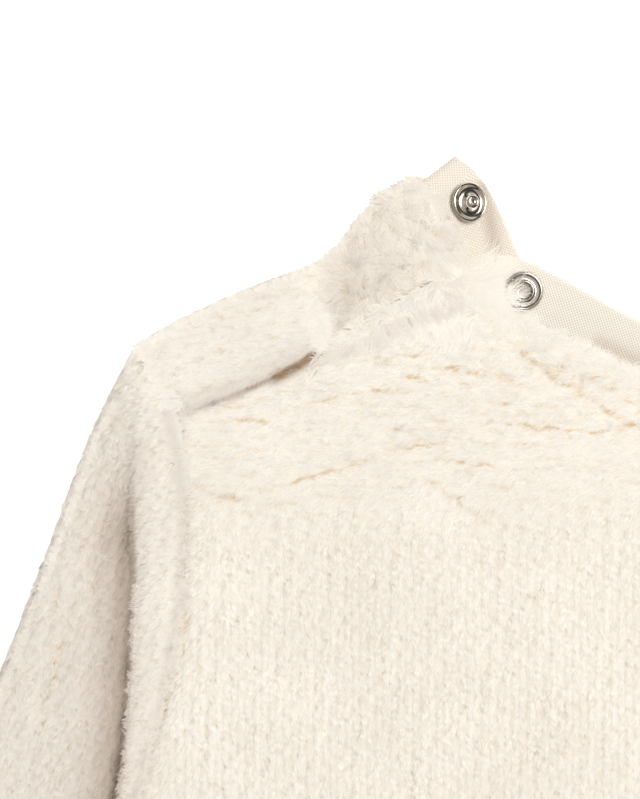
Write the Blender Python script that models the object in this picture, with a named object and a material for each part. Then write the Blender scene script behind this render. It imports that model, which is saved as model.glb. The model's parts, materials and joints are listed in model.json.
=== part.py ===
"""A child's pullover of cream plush fleece, laid flat on its back with the shoulder opening undone.

The frame: +Y runs up the garment to the neck, +X to the viewer's right as it lies, +Z up from
the surface. The origin is under the middle of the garment's box. Lengths are in millimetres up
to make_mesh, which turns them to metres. "Near" is the side with the opening, at -X, and "far"
is the other one. Each cloth piece is a middle surface of quads that cloth_solid thickens.
"""

import math

import bpy
import numpy as np
from mathutils import Matrix, Vector

# Driving sizes
PLY = 3.0  # plush fleece, knitted ground and lying pile together
GAP = 0.3  # between layers
FLAP_THICKNESS = 4.4  # shoulder extension of the back, faced with its own cloth
TAPE_THICKNESS = 2.0
BODY_LENGTH = 360.0  # hem to the level of the neck corner
HEM_HALF_WIDTH = 172.0
HEM_BOW = 4.0  # how much lower the hem is in its middle
CUFF_WIDTH = 72.0
SNAP_DIAMETER = 10.0
EDGE_ROUNDING = 0.8  # how far a cloth's faces stop short of its rim
SEAM_STEP = 0.6  # plan distance between the middle surfaces of two pieces at a seam
UNDERARM_EASE = (-1.6, 0.6)  # how far the sleeve stands off at the underarm point

# Heights of the middle surfaces
BACK_HEIGHT = PLY / 2
FRONT_HEIGHT = BACK_HEIGHT + PLY + GAP
YOKE_HEIGHT = FRONT_HEIGHT + PLY + 1.4 * GAP
FOLD_RADIUS = (YOKE_HEIGHT - BACK_HEIGHT) / 2
TAPE_FRONT_HEIGHT = 5.2
TAPE_BACK_HEIGHT = 1.3
EDGE_HEIGHT = 4.1  # middle of a sleeve's side fold
EDGE_RADIUS = EDGE_HEIGHT - BACK_HEIGHT

# Highest point of the opened neck tape above the neck corner, which centres the box in Y
TAPE_TIP_RISE = 26.5
CENTRING = (BODY_LENGTH - TAPE_TIP_RISE) / 2

# Armhole seam, underarm to shoulder fold, near side: x, y
ARMHOLE = (
    (-170.0, -152.0),
    (-165.0, -134.0),
    (-162.0, -120.8),
    (-158.5, -107.0),
    (-155.0, -87.0),
    (-153.3, -72.0),
    (-153.3, -54.5),
    (-154.8, -43.5),
    (-157.0, -38.0),
    (-159.2, -32.0),
    (-161.4, -26.0),
    (-163.8, -19.6),
)

# Edge of the front along the shoulder, near side: x, y. It runs under the yoke as far as the
# opening and then lies free on the base of the flap.
FRONT_SHOULDER_NEAR = (
    (-157.6, -30.5),
    (-151.0, -28.0),
    (-144.0, -26.0),
    (-136.0, -24.0),
    (-127.5, -22.6),
    (-118.5, -22.2),
    (-112.0, -16.4),
    (-104.0, -11.6),
    (-95.0, -6.8),
    (-84.2, -0.6),
)
FRONT_SHOULDER_FAR = (
    (84.2, -2.5),
    (95.0, -7.5),
    (104.0, -11.6),
    (112.0, -15.4),
    (118.5, -18.4),
    (127.5, -21.8),
    (136.0, -24.0),
    (144.0, -26.0),
    (151.0, -28.0),
    (157.6, -30.5),
)

# Neck tape on the front: upper x, upper y, lower x, lower y, height above its flat level
TAPE_FRONT = (
    (-75.7, 1.8, -81.0, -8.2, 2.3),
    (-69.0, 0.8, -72.0, -12.6, 1.5),
    (-61.0, -3.2, -66.0, -15.6, 0.8),
    (-54.0, -7.0, -60.0, -18.6, 0.4),
    (-40.0, -14.8, -46.0, -25.6, 0.0),
    (-29.0, -18.9, -33.5, -31.0, 0.0),
    (-15.0, -22.5, -17.0, -35.6, 0.0),
    (0.0, -23.5, 0.0, -37.0, 0.0),
    (15.0, -22.5, 17.0, -35.6, 0.0),
    (29.0, -18.9, 33.5, -31.0, 0.0),
    (40.0, -14.8, 46.0, -25.6, 0.0),
    (54.0, -7.0, 60.0, -18.6, 0.0),
    (69.0, 0.8, 72.0, -12.6, 0.0),
    (75.7, 1.8, 81.0, -8.2, 0.0),
)

# Neck tape on the back, from its free end at the flap: neck edge x, y, height, cloth edge x, y,
# height
TAPE_BACK = (
    (-86.3, 26.5, 6.3, -95.6, 19.0, 12.8),
    (-80.3, 21.9, 4.8, -91.8, 14.8, 11.8),
    (-75.3, 13.8, 3.9, -88.2, 9.6, 10.4),
    (-71.5, 5.5, 2.6, -85.4, 3.4, 6.4),
    (-68.8, -0.5, 2.0, -82.2, -3.0, 3.2),
    (-63.5, -8.5, 1.5, -76.0, -12.8, 1.7),
    (-54.0, -14.5, 1.3, -64.0, -23.0, 1.3),
    (-40.0, -19.5, 1.3, -46.0, -31.3, 1.3),
    (-20.0, -25.5, 1.3, -23.0, -38.2, 1.3),
    (0.0, -27.5, 1.3, 0.0, -40.5, 1.3),
    (20.0, -25.5, 1.3, 23.0, -38.2, 1.3),
    (40.0, -19.5, 1.3, 46.0, -31.3, 1.3),
    (54.0, -14.0, 1.3, 64.0, -23.0, 1.3),
    (63.5, -7.0, 1.4, 76.0, -15.0, 1.4),
    (70.5, 1.5, 1.5, 83.6, -6.0, 1.5),
)

# Shoulder wraps of the back: base x, y on the flat panel, fold x, y, free edge x, y, height
WRAP_NEAR = (
    (-157.0, -38.0, -163.8, -19.6, -157.1, -37.8, YOKE_HEIGHT),
    (-152.0, -36.2, -158.8, -16.4, -152.0, -36.6, YOKE_HEIGHT),
    (-145.0, -33.8, -150.2, -12.0, -144.6, -34.0, YOKE_HEIGHT),
    (-136.5, -30.4, -139.6, -7.3, -136.0, -30.4, YOKE_HEIGHT + 0.3),
    (-127.5, -26.5, -128.4, -3.1, -128.0, -26.8, YOKE_HEIGHT + 1.8),
    (-118.5, -23.5, -116.6, 1.0, -120.0, -21.8, YOKE_HEIGHT + 2.2),
)
WRAP_FAR = (
    (86.0, -9.0, 86.0, 12.0, 86.0, -4.5, YOKE_HEIGHT),
    (95.0, -13.5, 96.0, 8.0, 95.5, -8.0, YOKE_HEIGHT),
    (107.0, -19.0, 106.8, 4.0, 107.5, -14.4, YOKE_HEIGHT),
    (118.5, -23.5, 117.2, -0.2, 120.2, -22.0, YOKE_HEIGHT),
    (127.5, -26.5, 128.5, -4.0, 128.0, -26.8, YOKE_HEIGHT),
    (136.5, -30.4, 139.5, -8.2, 136.0, -30.4, YOKE_HEIGHT),
    (145.0, -33.8, 150.0, -12.8, 144.6, -34.0, YOKE_HEIGHT),
    (152.0, -36.2, 158.6, -17.0, 152.0, -36.6, YOKE_HEIGHT),
    (157.0, -38.0, 163.8, -19.6, 157.1, -37.8, YOKE_HEIGHT),
)
# Where the tape follows the far wrap round the shoulder: the same columns
TAPE_WRAP_NECK = (72.6, 2.0, 73.6, 16.4, 73.0, -0.5, YOKE_HEIGHT)
TAPE_WRAP_CLOTH = (85.5, -6.5, 85.5, 12.2, 85.5, -4.3, YOKE_HEIGHT)

# Flap of the opened shoulder: x, y, height along each side
FLAP_BASE = (
    (-117.8, -22.9, 2.3),
    (-107.0, -18.3, 2.3),
    (-95.2, -12.8, 2.3),
    (-81.0, -7.6, 2.5),
)
FLAP_FREE_EDGE = (
    (-114.6, 1.0, 10.3),
    (-111.8, 6.3, 11.6),
    (-107.0, 13.0, 12.6),
    (-101.5, 17.3, 12.9),
    (-96.5, 19.3, 12.8),
)
FLAP_NEAR_SIDE = (
    (-117.8, -22.9, 2.3),
    (-118.0, -18.6, 4.6),
    (-117.6, -13.0, 7.4),
    (-116.4, -6.0, 9.4),
    (-114.6, 1.0, 10.3),
)
FLAP_TAPE_SIDE = (
    (-81.0, -7.6, 2.5),
    (-83.2, -2.8, 3.4),
    (-86.3, 3.6, 6.3),
    (-89.2, 9.9, 10.2),
    (-92.8, 15.1, 11.8),
    (-96.5, 19.3, 12.8),
)

# Sleeve, near side: the roll's edge, the outer and inner side folds
ROLL_EDGE = (
    (-174.2, -154.5),
    (-171.2, -142.0),
    (-168.9, -128.0),
    (-167.6, -116.0),
    (-166.6, -100.0),
    (-165.9, -80.0),
    (-166.3, -60.0),
    (-166.9, -44.0),
    (-168.6, -33.0),
    (-171.2, -32.2),
)
SLEEVE_OUTER = (
    (-171.2, -32.2),
    (-177.4, -44.5),
    (-183.6, -62.0),
    (-191.1, -82.0),
    (-198.6, -101.5),
    (-210.0, -130.0),
    (-224.0, -160.0),
    (-241.0, -192.0),
    (-259.0, -224.0),
)
SLEEVE_INNER = (
    (-174.2, -154.5),
    (-175.6, -163.0),
    (-177.2, -182.0),
    (-179.6, -206.0),
    (-186.0, -231.0),
    (-194.6, -256.5),
)
# Profile of the rolled cap over one roll's width: share of the width, height
ROLL_PROFILE = ((0.0, 8.2), (0.26, 9.5), (0.58, 10.5), (0.85, 10.0), (1.0, 8.3), (1.03, 6.8), (1.3, 5.0))
PLAIN_PROFILE = ((0.0, 8.1), (0.18, 8.1), (0.36, 7.9), (0.55, 7.5), (0.74, 7.0), (0.96, 6.4), (1.3, 5.8))

# Largest soft folds: start x, y, end x, y, height, half width. The sleeve's are for the near side.
FRONT_FOLDS = (
    (-120.0, -150.0, -30.0, -215.0, 0.9, 16.0),
    (20.0, -120.0, 120.0, -170.0, 0.8, 18.0),
    (-90.0, -300.0, 10.0, -335.0, 0.8, 15.0),
    (60.0, -240.0, 100.0, -345.0, 0.8, 14.0),
    (-60.0, -70.0, 60.0, -78.0, 0.7, 16.0),
)
SLEEVE_FOLDS = (
    (-176.0, -164.0, -214.0, -158.0, 1.8, 6.0),
    (-178.0, -184.0, -226.0, -190.0, 1.5, 7.0),
    (-184.0, -98.0, -196.0, -128.0, 0.8, 7.0),
)
ARMHOLE_RISE = 3.3
ARMHOLE_RISE_WIDTH = 17.0
PLACKET_RISE = 3.9
PLACKET_RISE_WIDTH = 9.0
PLACKET_LINE = ((-112.0, -16.0), (-80.0, -2.0))
TWIST_RISE = 1.7
TWIST_POINT = (-118.0, -24.0)
TWIST_RISE_WIDTH = 7.0
HEM_LOFT = 0.5
BODY_LOFT = 1.3

# Snaps: where they sit in plan, and their profiles as radius and height above the tape
STUD_AT = (-83.8, 14.7)
SOCKET_AT = (-69.5, -7.3)
STUD = (
    (0.0, 0.0),
    (4.5, 0.0),
    (5.0, 0.5),
    (4.8, 1.0),
    (4.3, 1.2),
    (3.7, 0.9),
    (2.1, 0.6),
    (1.5, 1.1),
    (1.6, 2.4),
    (1.2, 2.9),
    (0.7, 2.7),
    (0.0, 2.6),
)
SOCKET = (
    (0.0, 0.0),
    (4.5, 0.0),
    (5.0, 0.5),
    (4.8, 1.1),
    (4.2, 1.4),
    (3.5, 1.1),
    (2.8, 0.7),
    (2.3, 0.9),
    (1.9, 0.8),
    (1.9, 0.3),
    (0.0, 0.3),
)
CAP = ((0.0, 0.0), (4.2, 0.0), (4.6, 0.4), (4.1, 0.9), (2.6, 1.2), (0.0, 1.2))

# Grid counts
LOWER_ROWS = 10
UPPER_ROWS = 14
NECK_COLUMNS = 12
SLEEVE_TOP_SHARES = (0.025, 0.09, 0.18, 0.28, 0.39, 0.5, 0.61, 0.72, 0.83, 0.92, 0.975)
SLEEVE_UNDER_SHARES = (0.97, 0.84, 0.64, 0.42, 0.2, 0.04)
SLEEVE_RINGS = 14
SNAP_SEGMENTS = 20


def curve_through(points, count):
    """Returns count points, evenly spaced, on a smooth curve through the given ones."""
    given = np.array(points, float)
    ends = np.vstack([2 * given[0] - given[1], given, 2 * given[-1] - given[-2]])
    dense = []
    for a, b, c, d in zip(ends, ends[1:], ends[2:], ends[3:]):
        for t in np.linspace(0, 1, 12, endpoint=False):
            dense.append(
                0.5 * (2 * b + (c - a) * t + (2 * a - 5 * b + 4 * c - d) * t**2 + (3 * b - a - 3 * c + d) * t**3)
            )
    dense = np.array(dense + [given[-1]])
    return at_shares(dense, np.linspace(0, 1, count))


def at_shares(line, shares):
    """Returns the points at these shares of a polyline's length."""
    steps = np.linalg.norm(np.diff(line, axis=0), axis=1)
    along = np.concatenate([[0], np.cumsum(steps)]) / steps.sum()
    return np.stack([np.interp(shares, along, line[:, k]) for k in range(line.shape[1])], axis=1)


def shares_of(line):
    """Returns how far along its own length each point of a polyline lies, from 0 to 1."""
    steps = np.linalg.norm(np.diff(line, axis=0), axis=1)
    return np.concatenate([[0], np.cumsum(steps)]) / steps.sum()


def patch(bottom, top, left, right):
    """Returns a grid that fills four edges: rows run from bottom to top, columns from left to right."""
    u = shares_of(bottom)[None, :, None]
    v = shares_of(left)[:, None, None]
    across = (1 - u) * left[:, None] + u * right[:, None]
    upward = (1 - v) * bottom[None] + v * top[None]
    corners = (
        (1 - u) * (1 - v) * bottom[0] + u * (1 - v) * bottom[-1] + (1 - u) * v * top[0] + u * v * top[-1]
    )
    return across + upward - corners


def fade(value, low, high):
    """Returns 0 below low, 1 above high and a smooth step between them."""
    t = np.clip((value - low) / (high - low), 0, 1)
    return t * t * (3 - 2 * t)


def from_segment(x, y, x0, y0, x1, y1):
    """Returns the distance of each plan point from a line segment, and its share along it."""
    dx, dy = x1 - x0, y1 - y0
    t = np.clip(((x - x0) * dx + (y - y0) * dy) / (dx * dx + dy * dy), 0, 1)
    return np.hypot(x - x0 - t * dx, y - y0 - t * dy), t


def folds_height(x, y, folds):
    """Returns the summed height of soft folds, each highest in its middle."""
    total = np.zeros_like(x)
    for x0, y0, x1, y1, height, width in folds:
        away, t = from_segment(x, y, x0, y0, x1, y1)
        total += height * np.sin(math.pi * np.clip(t, 0.02, 0.98)) * np.exp(-((away / width) ** 2))
    return total


def front_height(x, y):
    """Returns the height of the front's middle surface, as it lies on the back."""
    seam = np.array(curve_through(ARMHOLE, 60))
    seam_x = -np.interp(y, seam[:, 1], seam[:, 0])
    from_seam = np.maximum(seam_x - np.abs(x), 0)
    in_armhole = fade(y, -158, -120) * (1 - fade(y, -52, -40))
    lift = ARMHOLE_RISE * np.exp(-((from_seam / ARMHOLE_RISE_WIDTH) ** 2)) * in_armhole
    (x0, y0), (x1, y1) = PLACKET_LINE
    placket, _ = from_segment(x, y, x0, y0, x1, y1)
    lift += PLACKET_RISE * np.exp(-((placket / PLACKET_RISE_WIDTH) ** 2))
    twist = np.hypot(x - TWIST_POINT[0], y - TWIST_POINT[1])
    lift += TWIST_RISE * np.exp(-((twist / TWIST_RISE_WIDTH) ** 2))
    inside = fade(HEM_HALF_WIDTH - np.abs(x), 0, 45) * fade(y, -BODY_LENGTH, -BODY_LENGTH + 60)
    inside = inside * (1 - fade(y, -60, -30))
    loft = BODY_LOFT * inside + folds_height(x, y, FRONT_FOLDS) * inside
    hem = HEM_LOFT * (1 - fade(y, -BODY_LENGTH, -BODY_LENGTH + 30)) * (1 - (x / HEM_HALF_WIDTH) ** 2)
    return FRONT_HEIGHT + lift + loft + hem


def side_and_armhole(top_point):
    """Returns the near edge of a body panel, hem to shoulder, ending where the panel's top edge starts."""
    seam = curve_through(ARMHOLE, 120)
    last = np.argmin(np.abs(seam[:, 1] - top_point[1]))
    upper = at_shares(seam[: last + 1], np.linspace(0, 1, UPPER_ROWS + 1))
    upper[-1] = top_point
    hem_corner = (-HEM_HALF_WIDTH, HEM_BOW - BODY_LENGTH)
    side = curve_through((hem_corner, (-170.2, -270.0), (-170.6, -205.0), ARMHOLE[0]), LOWER_ROWS + 1)
    return np.vstack([side[:-1], upper])


def body_grid(top):
    """Returns the plan grid of a body panel under a given top edge."""
    left = side_and_armhole(top[0])
    right = left * (-1, 1)
    hem_x = top[:, 0] * HEM_HALF_WIDTH / abs(top[0, 0])
    bottom = np.stack([hem_x, HEM_BOW * (hem_x / HEM_HALF_WIDTH) ** 2 - BODY_LENGTH], axis=1)
    return patch(bottom, top, left, right)


def grid_faces(rows, columns, start=0, loop=False):
    """Returns the quads of a grid stored row by row, facing up where rows run +Y and columns +X."""
    faces = []
    for r in range(rows - 1):
        for c in range(columns if loop else columns - 1):
            n = (c + 1) % columns
            a, b = start + r * columns + c, start + r * columns + n
            faces.append((a, b, b + columns, a + columns))
    return faces


def cloth_solid(name, points, faces, thickness, material):
    """Thickens a middle surface on both sides and closes it with a rounded rim."""
    points = np.array(points, float)
    normals = np.zeros_like(points)
    for face in faces:
        a, b, c, d = points[list(face)]
        normals[list(face)] += np.cross(c - a, d - b)
    normals /= np.linalg.norm(normals, axis=1)[:, None]
    directed = {(f[k], f[(k + 1) % 4]) for f in faces for k in range(4)}
    border = [edge for edge in directed if edge[::-1] not in directed]
    border.sort()
    outward = np.zeros_like(points)
    for a, b in border:
        step = points[b] - points[a]
        step /= np.linalg.norm(step)
        for k in (a, b):
            outward[k] += np.cross(step, normals[k])
    rims = sorted({k for edge in border for k in edge})
    outward[rims] /= np.linalg.norm(outward[rims], axis=1)[:, None]
    inner = points - outward * EDGE_ROUNDING
    count = len(points)
    rim_at = {k: 2 * count + i for i, k in enumerate(rims)}
    shell = [tuple(f) for f in faces] + [tuple(k + count for k in reversed(f)) for f in faces]
    for a, b in border:
        shell.append((b, a, rim_at[a], rim_at[b]))
        shell.append((rim_at[b], rim_at[a], a + count, b + count))
    corners = np.vstack([inner + normals * thickness / 2, inner - normals * thickness / 2, points[rims]])
    return make_mesh(name, corners, shell, material)


def make_mesh(name, corners, faces, material):
    """Adds an object for points in millimetres, centred in Y, and shades it smooth."""
    mesh = bpy.data.meshes.new(name)
    metres = (np.array(corners) + (0, CENTRING, 0)) / 1000
    metres[:, 2] = np.maximum(metres[:, 2], 0)
    mesh.from_pydata(metres.tolist(), [], faces)
    mesh.materials.append(material)
    mesh.shade_smooth()
    thing = bpy.data.objects.new(name, mesh)
    bpy.context.scene.collection.objects.link(thing)
    return thing


def make_front(material):
    """The front panel, up to the neck tape and under the yokes."""
    lower_tape = curve_through([row[2:4] for row in TAPE_FRONT], NECK_COLUMNS + 1)
    away = np.array((0, -1.5 * SEAM_STEP))
    top = np.vstack([FRONT_SHOULDER_NEAR, lower_tape + away, FRONT_SHOULDER_FAR])
    plan = body_grid(top)
    rows, columns = plan.shape[:2]
    height = front_height(plan[..., 0], plan[..., 1])
    points = np.dstack([plan, height]).reshape(-1, 3)
    return cloth_solid("front", points, grid_faces(rows, columns), PLY, material)


def wrap_section(base, fold, edge, edge_height):
    """Returns one section of cloth that folds over the shoulder: flat part, half turn, free part."""
    base, fold, edge = (np.array(p, float) for p in (base, fold, edge))
    out = (fold - base) / np.linalg.norm(fold - base)
    back = (edge - fold) / np.linalg.norm(edge - fold)
    centre = fold - out * (FOLD_RADIUS + PLY / 2)
    section = [(*(base + (centre - base) * 0.55), BACK_HEIGHT)]
    for turn in np.radians((-90, -50, -15, 20, 55, 90)):
        way = out if turn < 0.5 else (out - back) / np.linalg.norm(out - back)
        reach = centre + way * FOLD_RADIUS * math.cos(turn)
        section.append((*reach, BACK_HEIGHT + FOLD_RADIUS * (1 + math.sin(turn))))
    for share in (0.3, 0.65, 1.0):
        place = centre + (edge - centre) * share
        section.append((*place, YOKE_HEIGHT + (edge_height - YOKE_HEIGHT) * share**2))
    return section


def make_back(material):
    """The back panel, with the shoulders that fold over to the front as yokes."""
    near = [row[:2] for row in WRAP_NEAR]
    flap_side = [(-107.0, -19.0), (-95.0, -13.5)]
    neck = curve_through([row[3:5] for row in TAPE_BACK[5:]], NECK_COLUMNS + 1)
    corner = [(-81.8, -9.0)]
    far = [row[:2] for row in WRAP_FAR]
    neck = neck[:-1] + (0, -1.8 * SEAM_STEP)
    top = np.vstack([near, flap_side, corner, neck, far])
    plan = body_grid(top)
    rows, columns = plan.shape[:2]
    points = np.dstack([plan, np.full((rows, columns), BACK_HEIGHT)]).reshape(-1, 3).tolist()
    faces = grid_faces(rows, columns)
    first = (rows - 1) * columns
    for table, start in ((WRAP_NEAR, first), (WRAP_FAR, first + columns - len(WRAP_FAR))):
        below = list(range(start, start + len(table)))
        sections = [wrap_section(row[:2], row[2:4], row[4:6], row[6]) for row in table]
        for level in zip(*sections):
            above = list(range(len(points), len(points) + len(table)))
            points.extend(level)
            for k in range(len(table) - 1):
                faces.append((below[k], below[k + 1], above[k + 1], above[k]))
            below = above
    return cloth_solid("back", points, faces, PLY, material)


def make_flap(material):
    """The shoulder extension of the back, standing up from the open shoulder."""
    grid = patch(
        curve_through(FLAP_BASE, 9),
        curve_through(FLAP_FREE_EDGE, 9),
        curve_through(FLAP_NEAR_SIDE, 8),
        curve_through(FLAP_TAPE_SIDE, 8),
    )
    rows, columns = grid.shape[:2]
    return cloth_solid(
        "shoulder_flap", grid.reshape(-1, 3), grid_faces(rows, columns), FLAP_THICKNESS, material
    )


def tape_grid(neck_edge, cloth_edge, bulge):
    """Returns a strip of four columns between two edges, arched up by bulge in the middle."""
    shares = np.array((0.0, 0.33, 0.67, 1.0))[None, :, None]
    grid = cloth_edge[:, None] * (1 - shares) + neck_edge[:, None] * shares
    grid[..., 2] += bulge * np.sin(math.pi * shares[..., 0])
    return grid


def tape_front_grid():
    """Returns the middle surface of the front's neck tape, cloth edge first."""
    table = np.array(TAPE_FRONT)
    height = TAPE_FRONT_HEIGHT + table[:, 4:]
    neck = curve_through(np.hstack([table[:, :2], height]), 33)
    cloth = curve_through(np.hstack([table[:, 2:4], height]), 33)
    return tape_grid(neck, cloth, 0.4)


def tape_back_grid():
    """Returns the middle surface of the back's neck tape, from the flap round to the far yoke."""
    table = np.array(TAPE_BACK)
    neck = curve_through(table[:, :3], 36)
    cloth = curve_through(table[:, 3:], 36)
    wraps = []
    for row in (TAPE_WRAP_NECK, TAPE_WRAP_CLOTH):
        wraps.append(wrap_section(row[:2], row[2:4], row[4:6], row[6])[1:])
    return tape_grid(np.vstack([neck, wraps[0]]), np.vstack([cloth, wraps[1]]), 0.0)


def make_tape(name, grid, material):
    """A neck tape from its middle surface, whose rows run along it from the near side."""
    rows, columns = grid.shape[:2]
    return cloth_solid(name, grid.reshape(-1, 3), grid_faces(rows, columns), TAPE_THICKNESS, material)


def roll_share(share):
    """Returns how much the sleeve cap is rolled at a share of the armhole, underarm to shoulder."""
    return fade(share, 0.02, 0.16) * (1 - fade(share, 0.78, 0.93))


def sleeve_rails(share):
    """Returns the plan points and heights of the sleeve's upper layer from the armhole to the roll's foot."""
    seam = at_shares(curve_through(ARMHOLE, 120), [share])[0] - (SEAM_STEP, 0)
    roll = at_shares(curve_through(ROLL_EDGE, 120), [share])[0]
    seam = seam + np.array(UNDERARM_EASE) * (1 - fade(share, 0.0, 0.05))
    rolled = roll_share(share)
    rail = []
    for (wide, high), (plain_wide, plain_high) in zip(ROLL_PROFILE, PLAIN_PROFILE):
        reach = rolled * wide + (1 - rolled) * plain_wide
        height = rolled * high + (1 - rolled) * plain_high
        rail.append((*(seam + (roll - seam) * reach), height))
    return np.array(rail)


def side_rounding(plan, sides):
    """Returns how far a layer has risen from the middle of the nearer side fold, 0 to 1."""
    nearest = np.full(plan.shape[:-1], np.inf)
    for line in sides:
        for (x0, y0), (x1, y1) in zip(line, line[1:]):
            nearest = np.minimum(nearest, from_segment(plan[..., 0], plan[..., 1], x0, y0, x1, y1)[0])
    inside = np.clip(1 - nearest / EDGE_RADIUS, 0, 1)
    return np.sqrt(1 - inside**2)


def make_sleeve(name, side, material):
    """A sleeve with its cap rolled over at the armhole, from rings round the flattened tube."""
    down = np.linspace(0, 1, SLEEVE_RINGS + 1)[1:]
    inner = at_shares(curve_through(SLEEVE_INNER, 120), down)
    outer = at_shares(curve_through(SLEEVE_OUTER, 120), down)
    across = np.array((0.0, *SLEEVE_TOP_SHARES, 1.0))
    rails = np.array([sleeve_rails(share) for share in across])
    foot = rails[:, -1, :2]
    cuff = inner[-1] + (outer[-1] - inner[-1]) * across[:, None]
    plan = patch(foot, cuff, np.vstack([foot[:1], inner]), np.vstack([foot[-1:], outer]))[1:]
    lines = np.concatenate([rails[..., :2].transpose(1, 0, 2), plan])
    from_side = np.minimum(across, 1 - across) * np.linalg.norm(plan[:, -1] - plan[:, 0], axis=1)[:, None]
    loft = 1.9 * np.exp(-((from_side / 9.0) ** 2)) + 0.9 * np.sin(math.pi * across)
    loft += folds_height(plan[..., 0], plan[..., 1], SLEEVE_FOLDS)
    at_cap = 1 - fade(down, 0.0, 0.3)[:, None]
    start = np.maximum(rails[:, -1, 2] - FRONT_HEIGHT, 0.3 * loft)
    top = np.vstack([rails[..., 2].T, FRONT_HEIGHT + loft * (1 - at_cap) + start * at_cap])
    sides = [np.vstack([rails[0, :, :2], inner]), np.vstack([rails[-1, :, :2], outer])]
    under = np.array([[np.interp(SLEEVE_UNDER_SHARES, across, line[:, k]) for k in (0, 1)] for line in lines])
    under = under.transpose(0, 2, 1)
    top = EDGE_HEIGHT + (top - EDGE_HEIGHT) * side_rounding(lines, sides)
    bottom = EDGE_HEIGHT - EDGE_RADIUS * side_rounding(under, sides)
    rings = np.concatenate([np.dstack([lines, top]), np.dstack([under, bottom])], axis=1)
    rings[..., 0] *= -side
    count, around = rings.shape[:2]
    faces = grid_faces(count, around, loop=True)
    if side < 0:
        faces = [face[::-1] for face in faces]
    return cloth_solid(name, rings.reshape(-1, 3), faces, PLY, material)


def turned(name, profile, place, material):
    """A piece turned about its own +Z from a profile of radius and height, outside first, set at place."""
    rings, faces = [], []
    for radius, height in profile:
        turns = 1 if radius == 0 else SNAP_SEGMENTS
        rings.append(
            [
                (radius * math.cos(2 * math.pi * k / turns), radius * math.sin(2 * math.pi * k / turns), height)
                for k in range(turns)
            ]
        )
    starts = np.concatenate([[0], np.cumsum([len(ring) for ring in rings])])
    closed = profile[0][0] > 0
    pairs = [(k, (k + 1) % len(rings)) for k in range(len(rings) if closed else len(rings) - 1)]
    for low, high in pairs:
        for k in range(SNAP_SEGMENTS):
            n = (k + 1) % SNAP_SEGMENTS
            a = [int(starts[low]) + i % len(rings[low]) for i in (k, n)]
            b = [int(starts[high]) + i % len(rings[high]) for i in (n, k)]
            faces.append(tuple(dict.fromkeys(a + b)))
    mesh = bpy.data.meshes.new(name)
    mesh.from_pydata((np.vstack(rings) / 1000).tolist(), [], faces)
    mesh.materials.append(material)
    mesh.shade_smooth()
    mesh.set_sharp_from_angle(angle=math.radians(40))
    thing = bpy.data.objects.new(name, mesh)
    thing.matrix_world = place
    bpy.context.scene.collection.objects.link(thing)
    return thing


def place_on(grid, x, y, offset, facing=1):
    """Returns where a snap sits: at plan point x, y of a tape, offset along the tape's normal."""
    across = np.linspace(0, 1, 41)[None, :, None]
    lines = grid[:, :1] * (1 - across) + grid[:, -1:] * across
    row, column = np.unravel_index(np.argmin(np.hypot(lines[..., 0] - x, lines[..., 1] - y)), lines.shape[:2])
    row = min(max(row, 1), len(grid) - 2)
    along = Vector(lines[row + 1, column] - lines[row - 1, column])
    side = Vector(lines[row, -1] - lines[row, 0])
    normal = along.cross(side).normalized()
    centre = Vector((x, y + CENTRING, lines[row, column, 2])) + normal * offset
    turn = (normal * facing).to_track_quat("Z", "Y").to_matrix().to_4x4()
    return Matrix.Translation(centre / 1000) @ turn


def finish(name, colour, roughness, metallic=0.0):
    """A plain material."""
    material = bpy.data.materials.new(name)
    material.use_nodes = True
    shader = material.node_tree.nodes["Principled BSDF"]
    shader.inputs["Base Color"].default_value = (*colour, 1.0)
    shader.inputs["Roughness"].default_value = roughness
    shader.inputs["Metallic"].default_value = metallic
    return material


def main():
    """Clears the scene and makes every piece."""
    for thing in list(bpy.data.objects):
        bpy.data.objects.remove(thing)
    plush = finish("plush_fleece", (0.88, 0.82, 0.73), 0.95)
    webbing = finish("cotton_tape", (0.80, 0.72, 0.60), 0.85)
    steel = finish("nickel_plate", (0.60, 0.57, 0.53), 0.22, 1.0)
    make_back(plush)
    make_front(plush)
    make_flap(plush)
    make_sleeve("sleeve_right", -1, plush)
    make_sleeve("sleeve_left", 1, plush)
    front_tape = tape_front_grid()
    back_tape = tape_back_grid()
    make_tape("neck_tape_front", front_tape, webbing)
    make_tape("neck_tape_back", back_tape, webbing)
    clear = TAPE_THICKNESS / 2 + 2 * GAP
    turned("snap_stud", STUD, place_on(back_tape, *STUD_AT, clear), steel)
    turned("snap_stud_cap", CAP, place_on(back_tape, *STUD_AT, -clear, -1), steel)
    turned("snap_socket", SOCKET, place_on(front_tape, *SOCKET_AT, clear + 0.3), steel)
    turned("snap_socket_cap", CAP, place_on(front_tape, *SOCKET_AT, -clear, -1), steel)


main()
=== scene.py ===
"""Dresses a child's cream fleece pullover, laid flat with its shoulder opening undone.

Plan positions are in millimetres, +X to the viewer's right from the centre line and +Y up from
the level of the neck corners. Near is the side with the opening, at -X.
"""

import json
import logging
import math
from dataclasses import dataclass, replace
from enum import Enum

import bmesh
import bpy
import numpy as np
from bpy.types import ID, Material, Mesh, Node, NodeSocket, Object
from mathutils import Matrix, Vector
from mathutils.bvhtree import BVHTree
from numpy import ndarray as Array

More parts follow.
